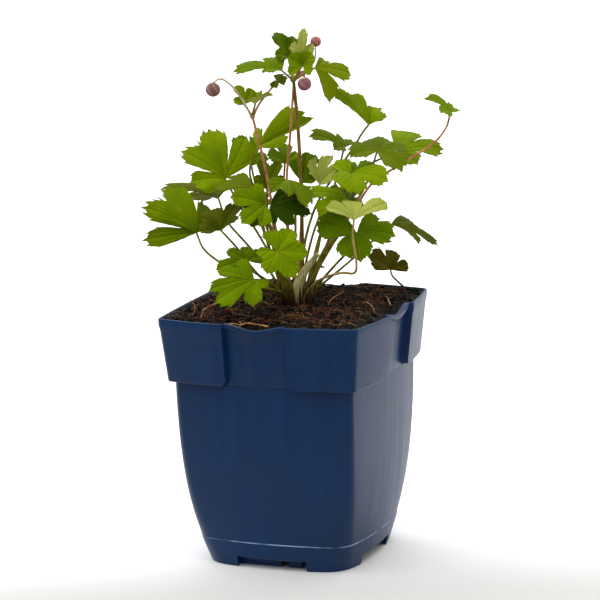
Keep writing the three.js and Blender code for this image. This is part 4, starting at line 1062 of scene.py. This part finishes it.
# stalks and stems: radii and routes in mm in the plant's frame
stalk = {
    "foot": 1.0, "tip": 0.68, "thin": (0.8, 0.6),
    "flare": 0.8, "flareFrom": -3, "flareHeight": 14, "flarePower": 1.5,
    "clear": 0.2, "steps": 5, "fine": 7, "leave": (0.12, 0.4), "arrive": 0.22,
}
runner = [(72.5, 30, -6), (72.5, 30, 2), (69, 31, 6), (65, 33, 10)]
flowerStems = [
    {"kind": "brown", "foot": 1.3, "tip": 1.1,
     "route": [(5, -6, -3), (6, -6, 43), (6, -4, 85), (5, -4, 119), (3, -4, 147.5)]},
    {"kind": "pink", "foot": 0.85, "tip": 0.75,
     "route": [(-3, -10, -3), (-3, -10, 57), (-3, -9, 83), (0, -7, 112), (3, -4, 144)]},
    {"kind": "pink", "foot": 1.0, "tip": 0.85,
     "route": [(-4, -9, -3), (-7, -11, 20), (-15, -12, 82), (-18, -12, 99), (-24, -12, 126)]},
    {"kind": "bud", "foot": 0.8, "tip": 0.5,
     "route": [(-24, -12, 124), (-29, -14, 135), (-38, -18, 148), (-44, -20, 151.5), (-48.2, -20, 149)]},
    {"kind": "pink", "foot": 0.8, "tip": 0.6,
     "route": [(-24, -12, 124), (-20, -8, 132), (-14, -4, 139), (-9, 0, 144.5)]},
    {"kind": "bud", "foot": 0.7, "tip": 0.45, "route": [(3, -4, 147), (12, 0, 153), (17, 2, 159), (17.8, 2, 168)]},
    {"kind": "pink", "foot": 0.95, "tip": 0.7,
     "route": [(3, -4, 147), (7, -8, 152), (9.8, -12, 153.6), (10, -14, 150)]},
]
knots = [{"place": (3, -4, 148), "radius": 2.3}, {"place": (-24, -12, 125.5), "radius": 1.6}]
knotLook = {"around": 20, "up": 12, "dent": 0.4, "dentPitch": 600}
shoots = [
    {"foot": 4.6, "tip": 1.5, "route": [(1, -11, -3), (2, -13, 13), (8, -13, 25), (16, -13, 35)]},
    {"foot": 2.8, "tip": 0.8, "route": [(-4, -8, -3), (-6, -9, 10), (-6, -10, 21)]},
    {"foot": 2.6, "tip": 0.7, "route": [(8, -8, -3), (12, -8, 8), (15, -9, 17)]},
]


def bezier(a, b, c, d, steps):
    return [a * (1 - s) ** 3 + b * 3 * s * (1 - s) ** 2 + c * 3 * s ** 2 * (1 - s) + d * s ** 3
            for s in (k / steps for k in range(steps + 1))]


def stalkRoute(leaf):
    hub, normal = leafFrame(leaf)[:2]
    end = hub - normal * stalk["clear"]
    if "root" in leaf:
        return [Vector(leaf["root"]), end]
    bearing = math.atan2(end.y - crown["y"], end.x - crown["x"])
    ring = crown["radius"] * (crown["inner"] if end.z > crown["highLeaf"] else crown["outer"])
    x, y = crown["x"] + ring * math.cos(bearing), crown["y"] + ring * math.sin(bearing)
    root = Vector((x, y, -crown["root"]))
    if "via" in leaf:
        return [root, Vector((x, y, crown["straight"]))] + [Vector(p) for p in leaf["via"]] + [end]
    reach = (end - root).length
    outward, upward = stalk["leave"]
    leave = Vector((outward * math.cos(bearing), outward * math.sin(bearing), upward))
    arrive = (normal + Vector((0, 0, 1))).normalized() * stalk["arrive"]
    return bezier(root, root + leave * reach, end - arrive * reach, end, stalk["steps"] - 1)


def stalkRun(route, foot, tip, flare=0.0):
    line = smoothRoute(route, stalk["fine"])
    run = []
    for k, spot in enumerate(line):
        share = k / (len(line) - 1)
        low = max(0, 1 - (spot.z - stalk["flareFrom"]) / stalk["flareHeight"])
        radius = mix(foot, tip, share) + flare * low ** stalk["flarePower"]
        run.append((fromPlant(spot), radius / 1000))
    return run


def stemMaterial(name, base, low, high, sheen):  # ribbed herbaceous stem, maroon at the foot
    return grownMaterial(name, {
        "shader": {"Roughness": 0.55, "IOR": 1.42, "Specular IOR Level": 0.15, "Sheen Weight": sheen,
                   "Sheen Roughness": 0.4},
        "base": low, "layers": [{"size": 6, "from": 0.35, "to": 0.65, "colour": high}],
        "foot": {"span": (2, 22), "colour": base}, "grain": {"size": 0.7, "depth": 0.12}})


stemKinds = {  # colours at the foot, and of the darker and the lighter patches above it
    "green": {"piece": "leafStalks", "material": "olivePetiole", "sheen": 0.0,
              "colours": ("#43210f", "#66600e", "#8a8420")},
    "tan": {"piece": "tanLeafStalk", "material": "tanPetiole", "sheen": 0.0,
            "colours": ("#6a4a28", "#9a7f42", "#b79c60")},
    "brown": {"piece": "mainFlowerStem", "material": "brownFlowerStem", "sheen": 0.0,
              "colours": ("#543812", "#6c5016", "#836824")},
    "pink": {"piece": "flowerStems", "material": "pinkFlowerStem", "sheen": 0.05,
             "colours": ("#6a3e1c", "#9a5c38", "#bd8060")},
    "bud": {"piece": "budStalks", "material": "paleBudStalk", "sheen": 0.1,
            "colours": ("#9a6a48", "#b4977a", "#cfbba0")},
}


def stemRuns():  # every stalk and stem of the plant, gathered by kind
    runs = {kind: [] for kind in stemKinds}
    for leaf in leaves:
        if "root" in leaf:
            runs["green"].append(stalkRun(stalkRoute(leaf), *stalk["thin"]))
        elif leaf["name"] != "runner":
            runs[leaf.get("petiole", "green")].append(stalkRun(stalkRoute(leaf), stalk["foot"], stalk["tip"],
                                                               stalk["flare"]))
    for stem in flowerStems:
        runs[stem["kind"]].append(stalkRun(stem["route"], stem["foot"], stem["tip"]))
    return runs


for kind, runs in stemRuns().items():
    look = stemKinds[kind]
    material = stemMaterial(look["material"], *look["colours"], look["sheen"])
    finishPiece(tubes(look["piece"], runs, 2), ["stalks"], [material], 60)
runnerHub, runnerNormal = leafFrame(next(leaf for leaf in leaves if leaf["name"] == "runner"))[:2]
runnerRun = stalkRun(runner + [runnerHub - runnerNormal * stalk["clear"]], *stalk["thin"])
finishPiece(tubes("runnerStalk", [runnerRun], 2), ["runner_stalk"],
            [stemMaterial("runnerPetiole", "#3a2a1a", "#5a4a20", "#6b6030", 0.1)], 60)


def makeKnots():
    made = []
    for knot in knots:
        bpy.ops.mesh.primitive_uv_sphere_add(segments=knotLook["around"], ring_count=knotLook["up"],
                                             radius=knot["radius"] / 1000, location=fromPlant(knot["place"]))
        ball = bpy.context.active_object
        bpy.ops.object.transform_apply(location=True)
        for vertex in ball.data.vertices:
            vertex.co += noise.noise_vector(vertex.co * knotLook["dentPitch"]) * knotLook["dent"] / 1000
        made.append(ball)
    makeActive(made[0])
    for ball in made:
        ball.select_set(True)
    bpy.ops.object.join()
    made[0].name = "stemKnots"
    return made[0]


finishPiece(makeKnots(), ["stalks"],
            [stemMaterial("stemNode", "#6b5a2c", "#7d6b38", "#8f8044", 0.3)], 60)

shootLook = {  # pale sheathed shoot: light green with pink flushed ribs, downy
    "shader": {"Roughness": 0.6, "Specular IOR Level": 0.15, "Sheen Weight": 0.1, "Sheen Roughness": 0.4},
    "base": "#9b9650",
    "layers": [{"size": 1.6, "stretch": (1, 1, 0.15), "from": 0.35, "to": 0.6, "colour": "#c9be8a"},
               {"size": 1.6, "stretch": (1, 1, 0.15), "from": 0.58, "to": 0.72, "most": 0.6, "colour": "#b88478"}],
    "foot": {"span": (0, 12), "colour": "#4f2a16"},
    "grain": {"size": 1.6, "stretch": (1, 1, 0.15), "depth": 0.12},
}
shootRuns = [stalkRun(shoot["route"], shoot["foot"], shoot["tip"]) for shoot in shoots]
finishPiece(tubes("youngShoots", shootRuns, 3), ["stalks"],
            [grownMaterial("paleShootSheath", shootLook)], 60)
print("stalks made")

# dry leaf bases packed round the foot of the stalks; lengths in mm
sheaths = {
    "count": 26, "ring": (6, 11.5), "height": (5, 17), "radius": (1.1, 2.3), "lean": (0.05, 0.35), "jitter": 0.1,
    "foot": -2, "joints": 6, "taper": 0.6, "endRadius": 0.1, "seed": 21,
}


def makeSheaths():
    random.seed(sheaths["seed"])
    runs = []
    for k in range(sheaths["count"]):
        angle = math.tau * k / sheaths["count"] + random.uniform(-sheaths["jitter"], sheaths["jitter"])
        ring, tall = random.uniform(*sheaths["ring"]), random.uniform(*sheaths["height"])
        radius = random.uniform(*sheaths["radius"])
        lean = random.uniform(*sheaths["lean"])
        run = []
        for joint in range(sheaths["joints"]):
            share = joint / (sheaths["joints"] - 1)
            out = ring + tall * lean * share
            spot = (crown["x"] + out * math.cos(angle), crown["y"] + out * math.sin(angle),
                    mix(sheaths["foot"], tall, share))
            run.append((fromPlant(spot), (radius * (1 - share) ** sheaths["taper"] + sheaths["endRadius"]) / 1000))
        runs.append(run)
    return runs


finishPiece(tubes("crownSheaths", makeSheaths(), 1), ["stalks"],
            [stemMaterial("drySheath", "#2a150c", "#4a2c1a", "#6b4a2a", 0.1)], 60)
print("crown made")

buds = [
    {"name": "bud_left", "place": (-48.5, -20, 144.6), "radius": 4.7, "lean": (0.15, 0, 1), "spin": 20,
     "skin": "#521a20", "rib": "#d8b4a4", "top": "#6e3030"},
    {"name": "bud_top", "place": (18, 2, 171), "radius": 3.5, "lean": (0, 0, -1), "spin": 70,
     "skin": "#8e2c46", "rib": "#e0c89c", "top": "#b9b24e"},
    {"name": "bud_middle", "place": (10, -14, 146), "radius": 4.5, "lean": (-0.2, -0.1, 1), "spin": 60,
     "skin": "#6c1c30", "rib": "#e8c4ba", "top": "#ded6b8"},
]
sepals = {  # they lap over each other with swept edges
    "count": 5, "ribs": 3, "ridge": 0.045, "ribRidge": 0.006, "sweep": 0.9, "squash": 0.97, "around": 60, "up": 30,
    "margin": (0.4, 0.48), "marginShare": 0.9, "ribSpan": (0.3, 0.46), "ribShare": 0.7, "topSpan": (0.8, 0.96),
    "grain": 0.5, "depth": 0.15,  # mm
}


def makeBud(bud):
    bpy.ops.mesh.primitive_uv_sphere_add(segments=sepals["around"], ring_count=sepals["up"], radius=1)
    piece = bpy.context.active_object
    piece.name = "round_" + bud["name"]
    lean = Vector(bud["lean"]).normalized()
    tilt = Vector((0, 0, 1)).rotation_difference(lean).to_matrix()
    mesh = piece.data
    for vertex in mesh.vertices:
        x, y, z = vertex.co
        turn = math.atan2(y, x) + math.radians(bud["spin"]) + sepals["sweep"] * z
        edge = (turn / math.tau * sepals["count"]) % 1
        fine = math.cos(turn * sepals["count"] * sepals["ribs"])
        swell = 1 + sepals["ridge"] * (edge - 0.5) * math.sqrt(max(0, 1 - z * z))
        swell += sepals["ribRidge"] * fine * (1 - z * z)
        offset = tilt @ Vector((x, y, z * sepals["squash"])) * bud["radius"] * swell
        vertex.co = fromPlant(Vector(bud["place"]) + offset)
    uv = mesh.uv_layers[0].data
    for loop in mesh.loops:
        u, v = uv[loop.index].uv
        uv[loop.index].uv = (u + sepals["sweep"] * -math.cos(math.pi * v) / math.tau + bud["spin"] / 360, v)
    return finishPiece(piece, [bud["name"]], [budMaterial(bud)], 0)


def budMaterial(bud):  # downy sepals with pale margins and fine ribs, paler at the tip
    material, shader = newMaterial(bud["name"] + "Sepals", {"Roughness": 0.6, "Specular IOR Level": 0.15,
                                                            "Sheen Weight": 0.15, "Sheen Roughness": 0.4})
    around = addNode(material, "SeparateXYZ", {0: addNode(material, "UVMap")}, "X")
    up = around.node.outputs["Y"]
    turns = addNode(material, "Math", {0: around, 1: sepals["count"]}, operation="MULTIPLY")
    margin = lineEvery(material, turns, *sepals["margin"])
    turns = addNode(material, "Math", {0: around, 1: sepals["count"] * sepals["ribs"]}, operation="MULTIPLY")
    ribs = lineEvery(material, turns, *sepals["ribSpan"], sepals["ribShare"])
    colour = addNode(material, "Mix", {0: ribs, 6: bud["skin"], 7: bud["rib"]}, **colourMix)
    margin = addNode(material, "Math", {0: margin, 1: sepals["marginShare"]}, operation="MULTIPLY")
    colour = addNode(material, "Mix", {0: margin, 6: colour, 7: bud["rib"]}, **colourMix)
    start, full = sepals["topSpan"]
    tip = addNode(material, "MapRange", {"Value": up, "From Min": start, "From Max": full}, **eased)
    colour = addNode(material, "Mix", {0: tip, 6: colour, 7: bud["top"]}, **colourMix)
    place = addNode(material, "TexCoord", out="Object")
    fine = addNode(material, "TexNoise", {"Vector": place, "Scale": 1000 / sepals["grain"], "Detail": 3}, "Fac")
    height = addNode(material, "Math", {0: fine, 1: ribs}, operation="ADD")
    relief = addNode(material, "Bump", {"Height": height, "Distance": sepals["depth"] / 1000})
    connect(material, shader, {"Base Color": colour, "Normal": relief})
    return material


for bud in buds:
    makeBud(bud)
print("buds made")
